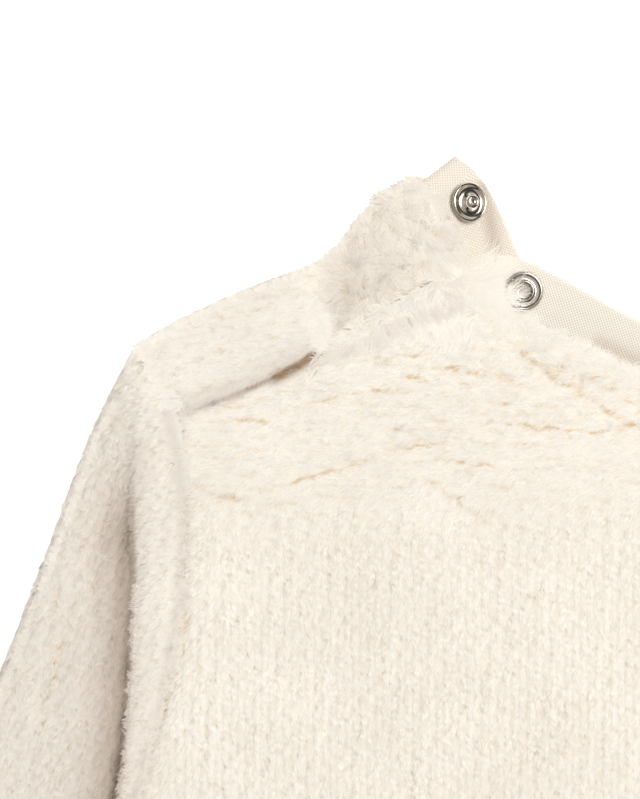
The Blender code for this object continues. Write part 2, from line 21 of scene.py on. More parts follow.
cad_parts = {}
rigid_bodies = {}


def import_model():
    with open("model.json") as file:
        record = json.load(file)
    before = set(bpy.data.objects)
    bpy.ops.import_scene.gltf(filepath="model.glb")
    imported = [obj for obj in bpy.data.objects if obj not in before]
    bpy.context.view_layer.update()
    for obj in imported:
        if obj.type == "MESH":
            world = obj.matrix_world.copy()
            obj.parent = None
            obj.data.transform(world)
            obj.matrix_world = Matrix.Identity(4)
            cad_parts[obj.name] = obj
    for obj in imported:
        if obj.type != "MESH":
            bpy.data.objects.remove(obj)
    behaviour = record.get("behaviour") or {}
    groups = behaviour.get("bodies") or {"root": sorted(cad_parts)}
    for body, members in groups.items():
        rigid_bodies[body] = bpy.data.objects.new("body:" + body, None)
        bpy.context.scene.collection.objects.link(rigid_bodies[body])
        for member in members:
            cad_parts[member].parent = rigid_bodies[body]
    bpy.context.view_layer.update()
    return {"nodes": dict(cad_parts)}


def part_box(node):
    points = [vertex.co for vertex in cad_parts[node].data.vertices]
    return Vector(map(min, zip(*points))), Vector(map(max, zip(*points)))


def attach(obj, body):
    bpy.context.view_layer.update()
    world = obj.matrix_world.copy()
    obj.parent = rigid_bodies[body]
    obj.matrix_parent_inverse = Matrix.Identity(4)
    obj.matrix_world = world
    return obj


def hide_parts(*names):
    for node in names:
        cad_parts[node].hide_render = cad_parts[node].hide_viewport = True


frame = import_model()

LOG = logging.getLogger("fleece_pullover")

# Millimetres in a metre
MM = 1000
BODY_LENGTH = 360.0
NECK_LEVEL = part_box("front")[0][1] * MM + BODY_LENGTH
# The picture's middle in plan, its height in metres and the height at which its scale holds
PHOTO_CENTRE = (-120.0, -34.4)
PHOTO_HEIGHT = 0.19975
PHOTO_LEVEL = 0.006
# Plan box of the close-up: left, low, right, top. The pile is crowded in it and sparse beyond
CLOSE_UP = (-212, -138, -36, 34)
SPARSE = 0.085
# A pale spot beside the tape's near end: its middle, half width and half height
PALE_SPOT = (-89, -15, 8, 5.5)
# In metres: the lowest that a blade reaches, where a ray starts off the face it leaves, and how far
# rays look for cloth that is sewn on beside and for cloth that lies on top
LOWEST = 0.0003
RAY_START = 0.0002
SEAM_REACH = 0.004
COVER_REACH = 0.05
# Highest that anything stands, in metres
HEADROOM = 0.1
# Faces that look further down than this grow no pile
STEEPEST = -0.25
# How far edges draw in under the pile, in parts of its height, and what sewn edges do instead
DRAW_IN = 0.8
SEWN = -0.4
# A blade of pile: its width in mm and how light its root, its two sides and its tip are, as painted shade
# that is darker deeper in the pile
BLADE_WIDTH = 0.31
BLADE_SHADE = (0.46, 0.68, 0.68, 0.86)
# Tufts: how much longer they are along their row than across, and each row's step along the last
TUFT_STRETCH = 1.1
ROW_STEP = 0.37
# A lock of a fringe: its blades, half their width in mm and how light they are from root to tip, as painted
# shade that is darker deeper in the pile
STRANDS = 9
STRAND_REACH = 0.14
STRAND_SHADE = (0.5, 0.66, 0.66, 0.76, 0.76, 0.88)


def linear(code: str) -> tuple[float, float, float, float]:
    """Turns a colour into linear light.

    Args:
        code: an sRGB hex colour, such as "#F4ECDF".

    Returns:
        The same colour as linear red, green, blue and an alpha of one.
    """
    parts = [int(code[k : k + 2], 16) / 255 for k in (1, 3, 5)]
    return (*[c / 12.92 if c <= 0.04045 else ((c + 0.055) / 1.055) ** 2.4 for c in parts], 1.0)


def smooth(value: Array, low: float, high: float) -> Array:
    """Returns 0 below low, 1 above high and an even step between them."""
    t = np.clip((value - low) / (high - low), 0, 1)
    return t * t * (3 - 2 * t)


def unit(rows: Array) -> Array:
    """Returns each row scaled to a length of one."""
    return rows / np.maximum(np.linalg.norm(rows, axis=-1, keepdims=True), 1e-9)


def measure(path: tuple) -> tuple[Array, Array, Array]:
    """Returns a path's corners, the length of each step and how far along it each corner lies."""
    corners = np.array(path, float)
    steps = np.linalg.norm(np.diff(corners, axis=0), axis=1)
    return corners, steps, np.concatenate([[0], np.cumsum(steps)])


def off_path(x: Array, y: Array, path: tuple) -> tuple[Array, Array]:
    """Measures plan points against a path.

    Args:
        x: plan x of the points.
        y: plan y of the points.
        path: the path's corners.

    Returns:
        Each point's distance from the path, and how far along it lies, from 0 to 1.
    """
    corners, steps, starts = measure(path)
    best = np.full(np.shape(x), np.inf)
    along = np.zeros(np.shape(x))
    for (x0, y0), (x1, y1), start, step in zip(corners, corners[1:], starts, steps):
        t = np.clip(((x - x0) * (x1 - x0) + (y - y0) * (y1 - y0)) / step**2, 0, 1)
        away = np.hypot(x - x0 - t * (x1 - x0), y - y0 - t * (y1 - y0))
        nearer = away < best
        best = np.where(nearer, away, best)
        along = np.where(nearer, (start + t * step) / starts[-1], along)
    return best, along


def mirror(path: tuple) -> tuple:
    """Returns a path on the other side of the garment."""
    return tuple((-x, y) for x, y in path)


def shift(path: tuple, right: float, up: float) -> tuple:
    """Returns a path moved in plan."""
    return tuple((x + right, y + up) for x, y in path)


def fade(away: Array, width: float) -> Array:
    """Returns 1 where away is 0 and less to both sides, with that half width."""
    return np.exp(-((away / width) ** 2))


def near(x: Array, y: Array, path: tuple, width: float) -> Array:
    """Returns 1 on a path and less the further plan points lie from it, with that half width."""
    return fade(off_path(x, y, path)[0], width)


def blend(first: Array, second: Array, share: Array) -> Array:
    """Returns a value that goes from the first to the second as share goes from 0 to 1."""
    return first * (1 - share) + second * share


def pale_spot(x: Array, y: Array) -> Array:
    """Returns 1 in the middle of the pale spot and less further out."""
    middle_x, middle_y, wide, high = PALE_SPOT
    return np.exp(-(((x - middle_x) / wide) ** 2) - ((y - middle_y) / high) ** 2)


@dataclass(frozen=True)
class Unevenness:
    """A smooth uneven field over the plan, about -2 to 2, made of crossing waves.

    Attributes:
        seed: picks the waves.
        size: their mean length in mm.
        stretch: how much longer they are along X than along Y.
        waves: how many cross.
    """

    seed: int
    size: float
    stretch: float = 1.0
    waves: int = 14

    def at(self, x: Array, y: Array) -> Array:
        """Returns the field's value at plan points."""
        dice = np.random.default_rng(self.seed)
        total = np.zeros(np.shape(x))
        for _ in range(self.waves):
            turn, phase = dice.uniform(0, math.tau, 2)
            wave = math.tau / (self.size * dice.uniform(0.6, 1.6))
            total += np.sin(wave * (math.cos(turn) * x / self.stretch + math.sin(turn) * y) + phase)
        return total / math.sqrt(self.waves / 2)


@dataclass(frozen=True)
class Crease:
    """A soft trough in the cloth.

    Attributes:
        path: plan corners.
        depth: how deep it is in its middle, in mm; a ridge has a negative one.
        width: its half width in mm.
    """

    path: tuple
    depth: float
    width: float

    def at(self, x: Array, y: Array) -> Array:
        """Returns the trough's depth at plan points."""
        away, along = off_path(x, y, self.path)
        ends = np.sqrt(np.sin(math.pi * np.clip(along, 0.02, 0.98)))
        return self.depth * ends * fade(away, self.width)


# Creases of the front's upper part, then softer ones on the parts that lie beyond the picture; the pile
# along them is darkened with painted shade
FRONT_CREASES = (
    Crease(((-142.5, -39.5), (-137, -39.4), (-132, -40.8)), 0.8, 1.2),
    Crease(((-123.5, -35), (-119, -34.4), (-114.5, -33.4)), 0.9, 1),
    Crease(((-114, -33), (-104, -32.2), (-95.2, -31.2)), 1, 1.1),
    Crease(((-98.4, -29.4), (-95.5, -28.8), (-93, -29.8)), 1.6, 1.2),
    Crease(((-90, -27), (-85, -27.2), (-80, -28.2)), 1, 1.1),
    Crease(((-110.5, -24.6), (-105, -24.2), (-100.8, -23.4)), 0.9, 1),
    Crease(((-100, -23.8), (-95, -23.2), (-91.2, -23.4)), 0.9, 0.9),
    Crease(((-131, -56.2), (-120.8, -53.2), (-108.2, -49.5)), 1.3, 1.2),
    Crease(((-87.5, -50.8), (-79.2, -50), (-75, -52)), 1.3, 1.1),
    Crease(((-93.2, -54.5), (-79.2, -64), (-74.5, -68)), 0.8, 1.1),
    Crease(((-103.2, -45.8), (-95, -46.2), (-87.5, -45)), 1, 1),
    Crease(((-95.8, -84.5), (-93, -84.8), (-90, -84.5)), 0.6, 0.9),
    Crease(((-70.8, -83.8), (-67, -83.4), (-64.2, -83.8)), 0.6, 0.9),
    Crease(((-152, -56), (-144, -58.4), (-135.8, -60)), 0.7, 1.3),
    Crease(((-82.5, -40.2), (-71, -40.6), (-60, -42.2), (-42, -42.8)), 1.2, 1),
    Crease(((-104.5, -41), (-98, -42.6), (-94, -41.6)), 0.9, 0.9),
    Crease(((-92, -26.6), (-86, -26.2), (-79, -27.8)), 1.1, 0.9),
    Crease(((-79, -25.6), (-74, -28.4), (-70.4, -30)), 0.8, 0.9),
    Crease(((-75.5, -35.2), (-71, -35.8)), 0.9, 0.8),
    Crease(((-70.8, -22.2), (-67.4, -24.2), (-64, -27.5), (-58, -31), (-52, -33.8)), 1.2, 1.4),
    Crease(((-54, -33.4), (-48.5, -37), (-43.5, -40.2), (-36, -43)), 1.2, 1.3),
    Crease(((-79.2, -27.2), (-74, -29.6), (-67.5, -31.6)), 0.7, 0.9),
    Crease(((-30, -46), (2, -50.5), (28, -46.5)), 1, 2.2),
    Crease(((36, -42), (58, -33.5), (76, -30.5)), 1, 1.8),
    Crease(((92, -27.5), (108, -31), (124, -37.5)), 1.1, 1.6),
    Crease(((101, -44), (118, -52.5), (139, -58)), 0.9, 2),
    Crease(((-20, -62), (6, -66), (30, -61)), 0.7, 3),
    Crease(((62, -52), (84, -57), (97, -66)), 0.7, 2.4),
    Crease(((-148, -150), (-110, -163), (-62, -186)), 1.2, 5),
    Crease(((-158, -172), (-128, -196), (-104, -232)), 1, 5.5),
    Crease(((150, -148), (118, -158), (84, -176)), 1.2, 4.5),
    Crease(((160, -180), (136, -214), (121, -262)), 1, 6),
    Crease(((-60, -240), (-8, -262), (52, -255)), 1, 7),
    Crease(((-140, -290), (-88, -318), (-30, -326)), 1.1, 6),
    Crease(((24, -306), (70, -330), (132, -335)), 1, 6.5),
    Crease(((70, -96), (104, -104), (140, -98)), 0.8, 4),
    # Glimpses of the armhole seam between the pile's tufts, shallow troughs that the pile shows as painted
    # shade
    Crease(((-153.2, -83.8), (-153.6, -92), (-154.5, -99.8)), 1, 0.8),
    Crease(((-155.3, -102), (-156, -104.3)), 0.9, 0.8),
    Crease(((-158.2, -108.8), (-158.8, -112), (-159.2, -115.2)), 1.2, 0.8),
    Crease(((-159.6, -118.2), (-160.4, -121.8)), 1, 0.8),
    Crease(((154.2, -90), (155.4, -100), (157.6, -106)), 1, 0.8),
    Crease(((159.6, -113), (161.4, -121.5)), 1, 0.8),
)
# Creases of the sleeves; the pile along them is darkened with painted shade
NEAR_SLEEVE_CREASES = (
    Crease(((-180, -82), (-186, -99), (-190, -119)), 0.9, 2.2),
    Crease(((-172.5, -60), (-176, -75), (-177, -92)), 0.7, 2),
    Crease(((-178, -170), (-196, -163), (-214, -166)), 1.4, 2.6),
    Crease(((-181, -196), (-202, -188), (-226, -196)), 1.1, 3),
    Crease(((-192, -236), (-212, -224), (-232, -224)), 0.8, 3.2),
)
FAR_SLEEVE_CREASES = (
    Crease(((176, -74), (183, -98), (192, -117)), 0.9, 2.4),
    Crease(((179, -166), (198, -168), (217, -159)), 1.3, 2.8),
    Crease(((182, -204), (206, -194), (229, -203)), 1, 3.2),
)

# Lower edge of the front's neck tape, and the front's edge along the opening
TAPE_FOOT = (
    (-81, -8.2), (-72, -12.6), (-66, -15.6), (-60, -18.6), (-46, -25.6), (-33.5, -31),
    (-17, -35.6), (0, -37),
)
OPENING_EDGE = (
    (-118.5, -22.2), (-112, -16.4), (-104, -11.6), (-95, -6.8), (-84.2, -0.6), (-81, -8.2),
)
# Edge of the flap along its tape, and its other sides
FLAP_TAPE_EDGE = (
    (-96.5, 19.3), (-92.8, 15.1), (-89.2, 9.9), (-86.3, 3.6), (-83.2, -2.8), (-81, -7.6),
)
FLAP_NEAR_SIDE = ((-117.8, -22.9), (-118, -18.6), (-117.6, -13), (-116.4, -6), (-114.6, 1))
FLAP_BASE = ((-116, -22.3), (-107, -18.3), (-95.2, -12.8), (-83, -8.2))
FLAP_TOP = ((-115, 0), (-110.8, 5.2), (-106.2, 11.4), (-101.2, 15.6), (-97, 17.6))
# Near armhole, the edge of the near sleeve's rolled cap, and the yoke's seam above them; painted shade lies
# along each
ARMHOLE = (
    (-169, -150), (-162, -120.8), (-158.5, -107), (-155, -87), (-153.8, -68),
    (-154.6, -55.5), (-155.4, -48.5), (-157.9, -38.6),
)
ROLL_EDGE = (
    (-174.2, -154.5), (-171.2, -142), (-168.9, -128), (-167.6, -116), (-166.6, -100),
    (-165.9, -80), (-166.3, -60), (-166.9, -44), (-168.6, -33),
)
YOKE_SEAM = ((-156.6, -37.4), (-160, -28.6), (-163.4, -20.6))
# Lip of the shoulder wrap over the front, and where it gapes; a painted shadow lies along both
LIP = (
    (-157, -38.4), (-152, -37.2), (-144.6, -34.6), (-136, -31), (-128, -27.2),
    (-121, -23),
)
LIP_DEEP = ((-131, -28.9), (-126.5, -26.4), (-120, -22.6))
# Creases in the neck tapes, darkened with painted shade: the back one's fold beside the stud, and where the
# front one turns in
STUD_FOLD = ((-79.2, 19), (-77.6, 11), (-76, 3))
TURNED_IN = ((-50, -20.5), (-38, -26))


class Zone(Enum):
    """The cloth that pile grows on."""

    FRONT = "front"
    YOKE = "yoke"
    FLAP = "flap"
    SLEEVE = "sleeve"


class Lay(Enum):
    """Which way the pile lies on the near side, in degrees from +X."""

    FRONT_TOP = 194
    FRONT_LOW = 268
    BESIDE_ARMHOLE = 214
    PALE_SPOT = 300
    OVER_TAPE = 60
    YOKE = 196
    LIP = 256
    FLAP = 110
    FLAP_SIDE = 200
    SLEEVE = 246
    ROLL = 206

    @property
    def turn(self) -> float:
        """Returns it in radians."""
        return math.radians(self.value)


# Settings of a node that multiplies one colour by another
MULTIPLY = {"data_type": "RGBA", "blend_type": "MULTIPLY"}


def feed(owner: ID, node: Node, **inputs: object) -> None:
    """Sets a node's inputs.

    Args:
        owner: the material or the world that the node is in.
        node: the node.
        inputs: an input's name, with spaces as underscores, or in_ and its number, to a value or
            to another node's output.
    """
    for key, value in inputs.items():
        name = key.replace("_", " ")
        socket = node.inputs[int(name[3:])] if name.startswith("in ") else node.inputs[name]
        if isinstance(value, NodeSocket):
            owner.node_tree.links.new(value, socket)
        else:
            socket.default_value = value


def add_node(owner: ID, kind: str, settings: dict | None = None, **inputs: object) -> Node:
    """Adds one node.

    Args:
        owner: the material or the world that gets it.
        kind: the node's Blender type.
        settings: its own properties.
        inputs: as for feed.

    Returns:
        The node.
    """
    node = owner.node_tree.nodes.new(kind)
    for key, value in (settings or {}).items():
        setattr(node, key, value)
    feed(owner, node, **inputs)
    return node


def add_painted_shade(owner: ID, colour: NodeSocket) -> NodeSocket:
    """Darkens a colour towards a warm grey with painted shade, as far as the attribute tuck says."""
    depth = add_node(owner, "ShaderNodeAttribute", {"attribute_name": "tuck"}).outputs["Fac"]
    mix = add_node(owner, "ShaderNodeMix", MULTIPLY, in_0=depth, in_6=colour, in_7=linear("#C7B9AF"))
    return mix.outputs[2]


@dataclass(frozen=True)
class Finish:
    """What every finish has: a material with one shader.

    Attributes:
        name: the material's name.
        roughness: of the surface.
    """

    name: str
    roughness: float

    def start(self) -> tuple[Material, Node]:
        """Returns a new material and its shader."""
        material = bpy.data.materials.new(self.name)
        material.use_nodes = True
        shader = material.node_tree.nodes["Principled BSDF"]
        shader.inputs["Roughness"].default_value = self.roughness
        return material, shader


@dataclass(frozen=True)
class PlushFleece(Finish):
    """Cut polyester plush: matt and cream, with a warm tan painted as shade deep in the pile and where it
    parts.

    Attributes:
        ground: colour at the roots, a painted shade deep in the pile.
        middle: colour half way up, a lighter painted shade.
        tip: colour at the tips.
        nap_shade: tint of faint cooler patches, painted shade that stands in for pile brushed two ways
            catching less light.
        nap_shade_size: how wide they are, in mm.
        sheen: how much its edges glow.
    """

    # Colours from the roots to the tips: the tan of the roots is painted shade deep in the pile
    ground: str = "#D6BD94"
    middle: str = "#F1EBE0"
    tip: str = "#F8F6F0"
    nap_shade: str = "#F3F1EE"
    nap_shade_size: float = 25.0
    sheen: float = 0.25

    def make(self) -> Material:
        """Returns the material; it paints shade, with some random tone, by each point's height in the pile
        from the attribute lift.
        """
        material, shader = self.start()
        # Painted shade: the colour runs from tan deep in the pile to cream at its tips
        height = add_node(material, "ShaderNodeAttribute", {"attribute_name": "lift"})
        ramp = add_node(material, "ShaderNodeValToRGB", Fac=height.outputs["Fac"])
        ramp.color_ramp.elements[0].color = linear(self.ground)
        ramp.color_ramp.elements[1].color = linear(self.tip)
        ramp.color_ramp.elements.new(0.5).color = linear(self.middle)
        # Painted shade in faint cooler patches, for pile brushed two ways
        where = add_node(material, "ShaderNodeTexCoord").outputs["Object"]
        scale = MM / self.nap_shade_size
        patches = add_node(material, "ShaderNodeTexNoise", Vector=where, Scale=scale, Detail=2.0)
        tint = add_node(material, "ShaderNodeMix", MULTIPLY, in_0=patches.outputs["Fac"])
        feed(material, tint, in_6=ramp.outputs["Color"], in_7=linear(self.nap_shade))
        # Painted shade where cloth lies close beside other cloth
        colour = add_painted_shade(material, tint.outputs[2])
        feed(material, shader, Base_Color=colour, Specular_IOR_Level=0.2)
        feed(material, shader, Sheen_Weight=self.sheen, Sheen_Roughness=0.6)
        return material


@dataclass(frozen=True)
class WovenTape(Finish):
    """Cotton tape in a fine mesh weave: rows of small raised dots that run along it.

    Attributes:
        thread: colour of the raised threads.
        hollow_shade: colour between them, darker as painted shade in the weave's hollows.
        pitch: mm between dots.
        relief: how far they stand up, in metres.
    """

    thread: str = "#F9F4EA"
    hollow_shade: str = "#E7DAC6"
    pitch: float = 0.9
    relief: float = 0.0002

    def make(self) -> Material:
        """Returns the material; it reads mm along and across the tape from its UV map."""
        material, shader = self.start()
        where = add_node(material, "ShaderNodeUVMap", {"uv_map": "tape"})
        split = add_node(material, "ShaderNodeSeparateXYZ", Vector=where.outputs["UV"])
        turn = math.tau / self.pitch
        waves = []
        for axis in "XY":
            mm = split.outputs[axis]
            scaled = add_node(material, "ShaderNodeMath", {"operation": "MULTIPLY"}, in_0=mm, in_1=turn)
            wave = add_node(material, "ShaderNodeMath", {"operation": "SINE"}, in_0=scaled.outputs[0])
            waves.append(wave.outputs[0])
        dots = add_node(material, "ShaderNodeMath", {"operation": "MULTIPLY"}, in_0=waves[0], in_1=waves[1])
        level = add_node(material, "ShaderNodeMapRange", Value=dots.outputs[0], From_Min=-0.7, From_Max=0.7)
        # Painted shade: the hollows between the dots are darker than the threads
        ramp = add_node(material, "ShaderNodeValToRGB", Fac=level.outputs[0])
        ramp.color_ramp.elements[0].color = linear(self.hollow_shade)
        ramp.color_ramp.elements[1].color = linear(self.thread)
        bump = add_node(
            material, "ShaderNodeBump", Strength=0.6, Distance=self.relief, Height=level.outputs[0]
        )
        # Painted shade on the tape where it folds or turns in, from the attribute tuck
        feed(material, shader, Base_Color=add_painted_shade(material, ramp.outputs["Color"]))
        feed(material, shader, Normal=bump.outputs["Normal"], Specular_IOR_Level=0.25)
        return material


@dataclass(frozen=True)
class NickelPlate(Finish):
    """Brass snaps plated with nickel: bright, a little warm, with a faint satin haze.

    Attributes:
        colour: of the plate.
        haze: its darker tone.
        grain: width of the haze's clouds in mm.
    """

    colour: str = "#CFC6BA"
    haze: str = "#B9AFA2"
    grain: float = 10 / 9

    def make(self) -> Material:
        """Returns the material."""
        material, shader = self.start()
        where = add_node(material, "ShaderNodeTexCoord").outputs["Object"]
        haze = add_node(material, "ShaderNodeTexNoise", Vector=where, Scale=MM / self.grain, Detail=3.0)
        tone = add_node(material, "ShaderNodeValToRGB", Fac=haze.outputs["Fac"])
        tone.color_ramp.elements[0].color = linear(self.haze)
        tone.color_ramp.elements[1].color = linear(self.colour)
        feed(material, shader, Base_Color=tone.outputs["Color"], Metallic=1.0)
        return material


@dataclass(frozen=True)
class StudioPaper(Finish):
    """White paper, lit from behind so that shadows on it nearly vanish.

    Attributes:
        glow: strength of that light.
    """

    glow: float = 0.72

    def make(self) -> Material:
        """Returns the material."""
        material, shader = self.start()
        feed(material, shader, Base_Color=linear("#F2F2F2"))
        feed(material, shader, Emission_Color=(1, 1, 1, 1), Emission_Strength=self.glow)
        return material


def plan_of(points: Array) -> tuple[Array, Array]:
    """Returns the plan x and y in mm of points in metres."""
    return points[:, 0] * MM, points[:, 1] * MM - NECK_LEVEL


def read(items: bpy.types.bpy_prop_collection, field: str, width: int, kind: type = float) -> Array:
    """Reads one field of a mesh's items.

    Args:
        items: the items.
        field: the field's name.
        width: how many numbers it has.
        kind: of the numbers.

    Returns:
        The field, a row for each item.
    """
    values = np.empty(len(items) * width, np.int32 if kind is int else np.float32)
    items.foreach_get(field, values)
    return values.reshape(-1, width).astype(kind)


def write(items: bpy.types.bpy_prop_collection, field: str, values: Array) -> None:
    """Sets one field of a mesh's items."""
    items.foreach_set(field, np.ascontiguousarray(values.ravel(), np.float32))


def read_points(mesh: Mesh) -> tuple[Array, Array]:
    """Returns a mesh's points and its normals there."""
    return read(mesh.vertices, "co", 3), read(mesh.vertex_normals, "vector", 3)


def add_values(mesh: Mesh, name: str, values: Array) -> None:
    """Stores one number for each point of a mesh."""
    write(mesh.attributes.new(name, "FLOAT", "POINT").data, "value", values)


def dress(mesh: Mesh, material: Material) -> None:
    """Smooths a mesh and gives it one material."""
    mesh.shade_smooth()
    mesh.materials.clear()
    mesh.materials.append(material)


def add_object(name: str, data: ID) -> Object:
    """Adds an object with that data to the scene and returns it."""
    thing = bpy.data.objects.new(name, data)
    bpy.context.scene.collection.objects.link(thing)
    return thing


def pick(thing: Object) -> None:
    """Makes an object the only selected and the active one."""
    bpy.ops.object.select_all(action="DESELECT")
    bpy.context.view_layer.objects.active = thing
    thing.select_set(True)


def tree_of(meshes: list) -> BVHTree:
    """Returns one tree of several meshes, to cast rays at."""
    work = bmesh.new()
    for mesh in meshes:
        work.from_mesh(mesh)
    tree = BVHTree.FromBMesh(work)
    work.free()
    return tree


def crowding(x: Array, y: Array) -> Array:
    """Returns how crowded the pile's blades are at plan points: 1 in the close-up, less beyond it."""
    left, low, right, top = CLOSE_UP
    out = np.maximum(np.maximum(left - x, x - right), np.maximum(low - y, y - top))
    return SPARSE + (1 - SPARSE) * (1 - smooth(out, 0, 30)) ** 2


def off_roll(x: Array, y: Array) -> Array:
    """Returns how far out from the edge of the sleeve's rolled cap plan points lie, in mm."""
    edge = np.array(ROLL_EDGE)
    return np.interp(y, edge[:, 1], edge[:, 0]) + np.abs(x)


def cell_luck(u: Array, v: Array, factors: tuple) -> Array:
    """Picks a lasting random number for each cell of a grid.

    Args:
        u: the cells' columns.
        v: their rows.
        factors: pick the numbers.

    Returns:
        The numbers, from -0.5 to 0.5.
    """
    spin = np.sin(u * factors[0] + v * factors[1]) * factors[2]
    return spin - np.floor(spin) - 0.5


def tip(along: Array, up: Array, angle: Array) -> Array:
    """Returns directions tipped from along towards up by an angle each."""
    return along * np.cos(angle)[:, None] + up * np.sin(angle)[:, None]


def painted_shade_at(zone: Zone, x: Array, y: Array) -> Array:
    """Says how much painted shade darkens cloth where it lies deep beside other cloth, in seams, and where
    it slopes away from the light.

    Args:
        zone: the cloth.
        x: plan x of the points.
        y: plan y of the points.

    Returns:
        0 for no painted shade to 1 in the deepest corner.
    """
    # Painted shade in the valley along the armhole seam
    armhole = 0.3 * near(-np.abs(x), y, ARMHOLE, 1.7)
    if zone is Zone.SLEEVE:
        # Painted shadow of the rolled cap on the sleeve beside it, painted shade on the roll's edge and a
        # little over the whole sleeve
        out = off_roll(x, y)
        length = smooth(-y, 44, 70) * (1 - 0.45 * smooth(-y, 150, 172))
        beside = fade(np.clip(out, 0, None), 8.5) * (out >= 0)
        on_roll = 0.26 * np.exp(-np.clip(-out, 0, None) / 2.4) * (out < 0)
        return armhole + 0.07 + 0.1 * (out >= 0) + 0.8 * beside * length + on_roll * smooth(-y, 30, 50)
    if zone is Zone.FLAP:
        # Painted shade on the flap, which slopes away from the light, more along its near side
        return 0.13 + 0.14 * near(x, y, FLAP_NEAR_SIDE, 9)
    # Painted shadow under the lip of the shoulder wrap, deepest where it gapes
    away, along = off_path(x, y, LIP)
    lip = fade(away, 0.8) * (0.35 + 0.6 * smooth(along, 0.1, 0.6))
    lip = np.maximum(lip, 1.2 * near(x, y, LIP_DEEP, 1.5 if zone is Zone.FRONT else 1.2))
    if zone is Zone.FRONT:
        lip = np.maximum(lip, armhole)
    if zone is Zone.YOKE:
        # Painted shade on the yoke above its lip and along its seam
        lip = np.maximum(lip, 0.3 * fade(away, 4.5) + 0.3 * near(x, y, YOKE_SEAM, 2.4))
    return np.clip(lip, 0, 1)


def add_blades(name: str, points: Array, shading: Array, fields: dict, material: Material) -> Object:
    """Makes one mesh of many blades.

    Args:
        name: of the piece.
        points: for each blade its root, pairs of sides and tip, in metres.
        shading: the normals there.
        fields: attributes' names to their values there.
        material: the finish.

    Returns:
        The piece.
    """
    count, corners = points.shape[:2]
    points = points.copy()
    across = np.cross(points[:, -1] - points[:, 0], points[:, 2] - points[:, 1])[:, 2] < 0
    for side in range(1, corners - 1, 2):
        points[across, side : side + 2] = points[across, side : side + 2][:, ::-1]
    place = points.reshape(-1, 3)
    place[:, 2] = np.maximum(place[:, 2], LOWEST)
    mesh = bpy.data.meshes.new(name)
    mesh.vertices.add(count * corners)
    write(mesh.vertices, "co", place)
    faces = np.array((0, 1, 2, 2, 1, 3) if corners == 4 else (0, 1, 2, 2, 1, 3, 2, 3, 4, 4, 3, 5))
    loops = (np.arange(count)[:, None] * corners + faces).ravel().astype(np.int32)
    mesh.loops.add(len(loops))
    mesh.loops.foreach_set("vertex_index", loops)
    mesh.polygons.add(len(loops) // 3)
    mesh.polygons.foreach_set("loop_start", np.arange(0, len(loops), 3, dtype=np.int32))
    mesh.update(calc_edges=True)
    mesh.shade_smooth()
    mesh.normals_split_custom_set_from_vertices(shading.reshape(-1, 3).astype(np.float32))
    for field, values in fields.items():
        add_values(mesh, field, values.ravel())
    mesh.materials.append(material)
    piece = add_object(mesh.name, mesh)
    # Real pile is far finer and lets light through, so its blades throw no shadow
    piece.visible_shadow = False
    return piece


@dataclass
class ClothShell:
    """The knitted ground of one piece: its solid's form, finer, sunk by the height of the pile.

    Attributes:
        node: the solid it stands for.
        name: its own name.
        levels: how often its faces are divided.
        sink: how deep the ground lies under the pile's top, in mm.
        creases: the troughs in it.
        zone: which cloth it is.
    """

    node: str
    name: str
    levels: int
    sink: float
    creases: tuple = ()
    zone: Zone = Zone.FRONT

    def copy_form(self, keep_corners: bool = False) -> Object:
        """Returns a finer copy of the solid, in quads.

        Args:
            keep_corners: whether its outline keeps the solid's corners.

        Returns:
            The copy.
        """
        source = next(o for o in bpy.data.objects if o.name == frame["nodes"][self.node].name)
        mesh = bpy.data.meshes.new(self.name)
        work = bmesh.new()
        work.from_mesh(source.data)
        bmesh.ops.remove_doubles(work, verts=work.verts, dist=1e-5)
        bmesh.ops.join_triangles(
            work, faces=work.faces, angle_face_threshold=0.9, angle_shape_threshold=3.0, cmp_seam=False
        )
        work.to_mesh(mesh)
        work.free()
        shell = add_object(self.name, mesh)
        pick(shell)
        finer = shell.modifiers.new("finer", "SUBSURF")
        finer.levels = finer.render_levels = self.levels
        finer.subdivision_type = "SIMPLE" if keep_corners else "CATMULL_CLARK"
        bpy.ops.object.modifier_apply(modifier=finer.name)
        return shell

    def make(self, material: Material, beside: BVHTree) -> Object:
        """Builds the shell.

        Args:
            material: its finish.
            beside: every cloth solid, to tell seams from open edges.

        Returns:
            The shell's object.
        """
        shell = self.copy_form()
        mesh = shell.data
        points, normals = read_points(mesh)
        x, y = plan_of(points)
        upper = smooth(normals[:, 2], -0.5, 0.1)
        # Open edges draw in as well, under the pile that stands out from them
        inward = smooth(normals[:, 2], -0.9, -0.3)
        for k in np.nonzero(np.abs(normals[:, 2]) < 0.8)[0]:
            out = Vector((normals[k, 0], normals[k, 1], 0)).normalized()
            if beside.ray_cast(Vector(points[k]) + out * RAY_START, out, SEAM_REACH)[0] is not None:
                # Sewn edges close up instead
                inward[k] = SEWN
        down = self.sink + 0.16 * Unevenness(3, 5.0).at(x, y)
        facing = smooth(normals[:, 2], 0.3, 0.8)
        for crease in self.creases:
            down = down + crease.at(x, y) * facing
        points[:, :2] -= normals[:, :2] * (DRAW_IN * self.sink * inward)[:, None] / MM
        points[:, 2] = np.maximum(points[:, 2] - down * upper / MM, 0)
        write(mesh.vertices, "co", points)
        mesh.update()
        # Painted shade on the ground seen between the blades, darker where they crowd and with random tone,
        # and where other cloth lies close beside it
        add_values(mesh, "lift", 0.66 - 0.24 * crowding(x, y) + 0.04 * Unevenness(5, 3.0).at(x, y))
        add_values(mesh, "tuck", painted_shade_at(self.zone, x, y))
        dress(mesh, material)
        return shell


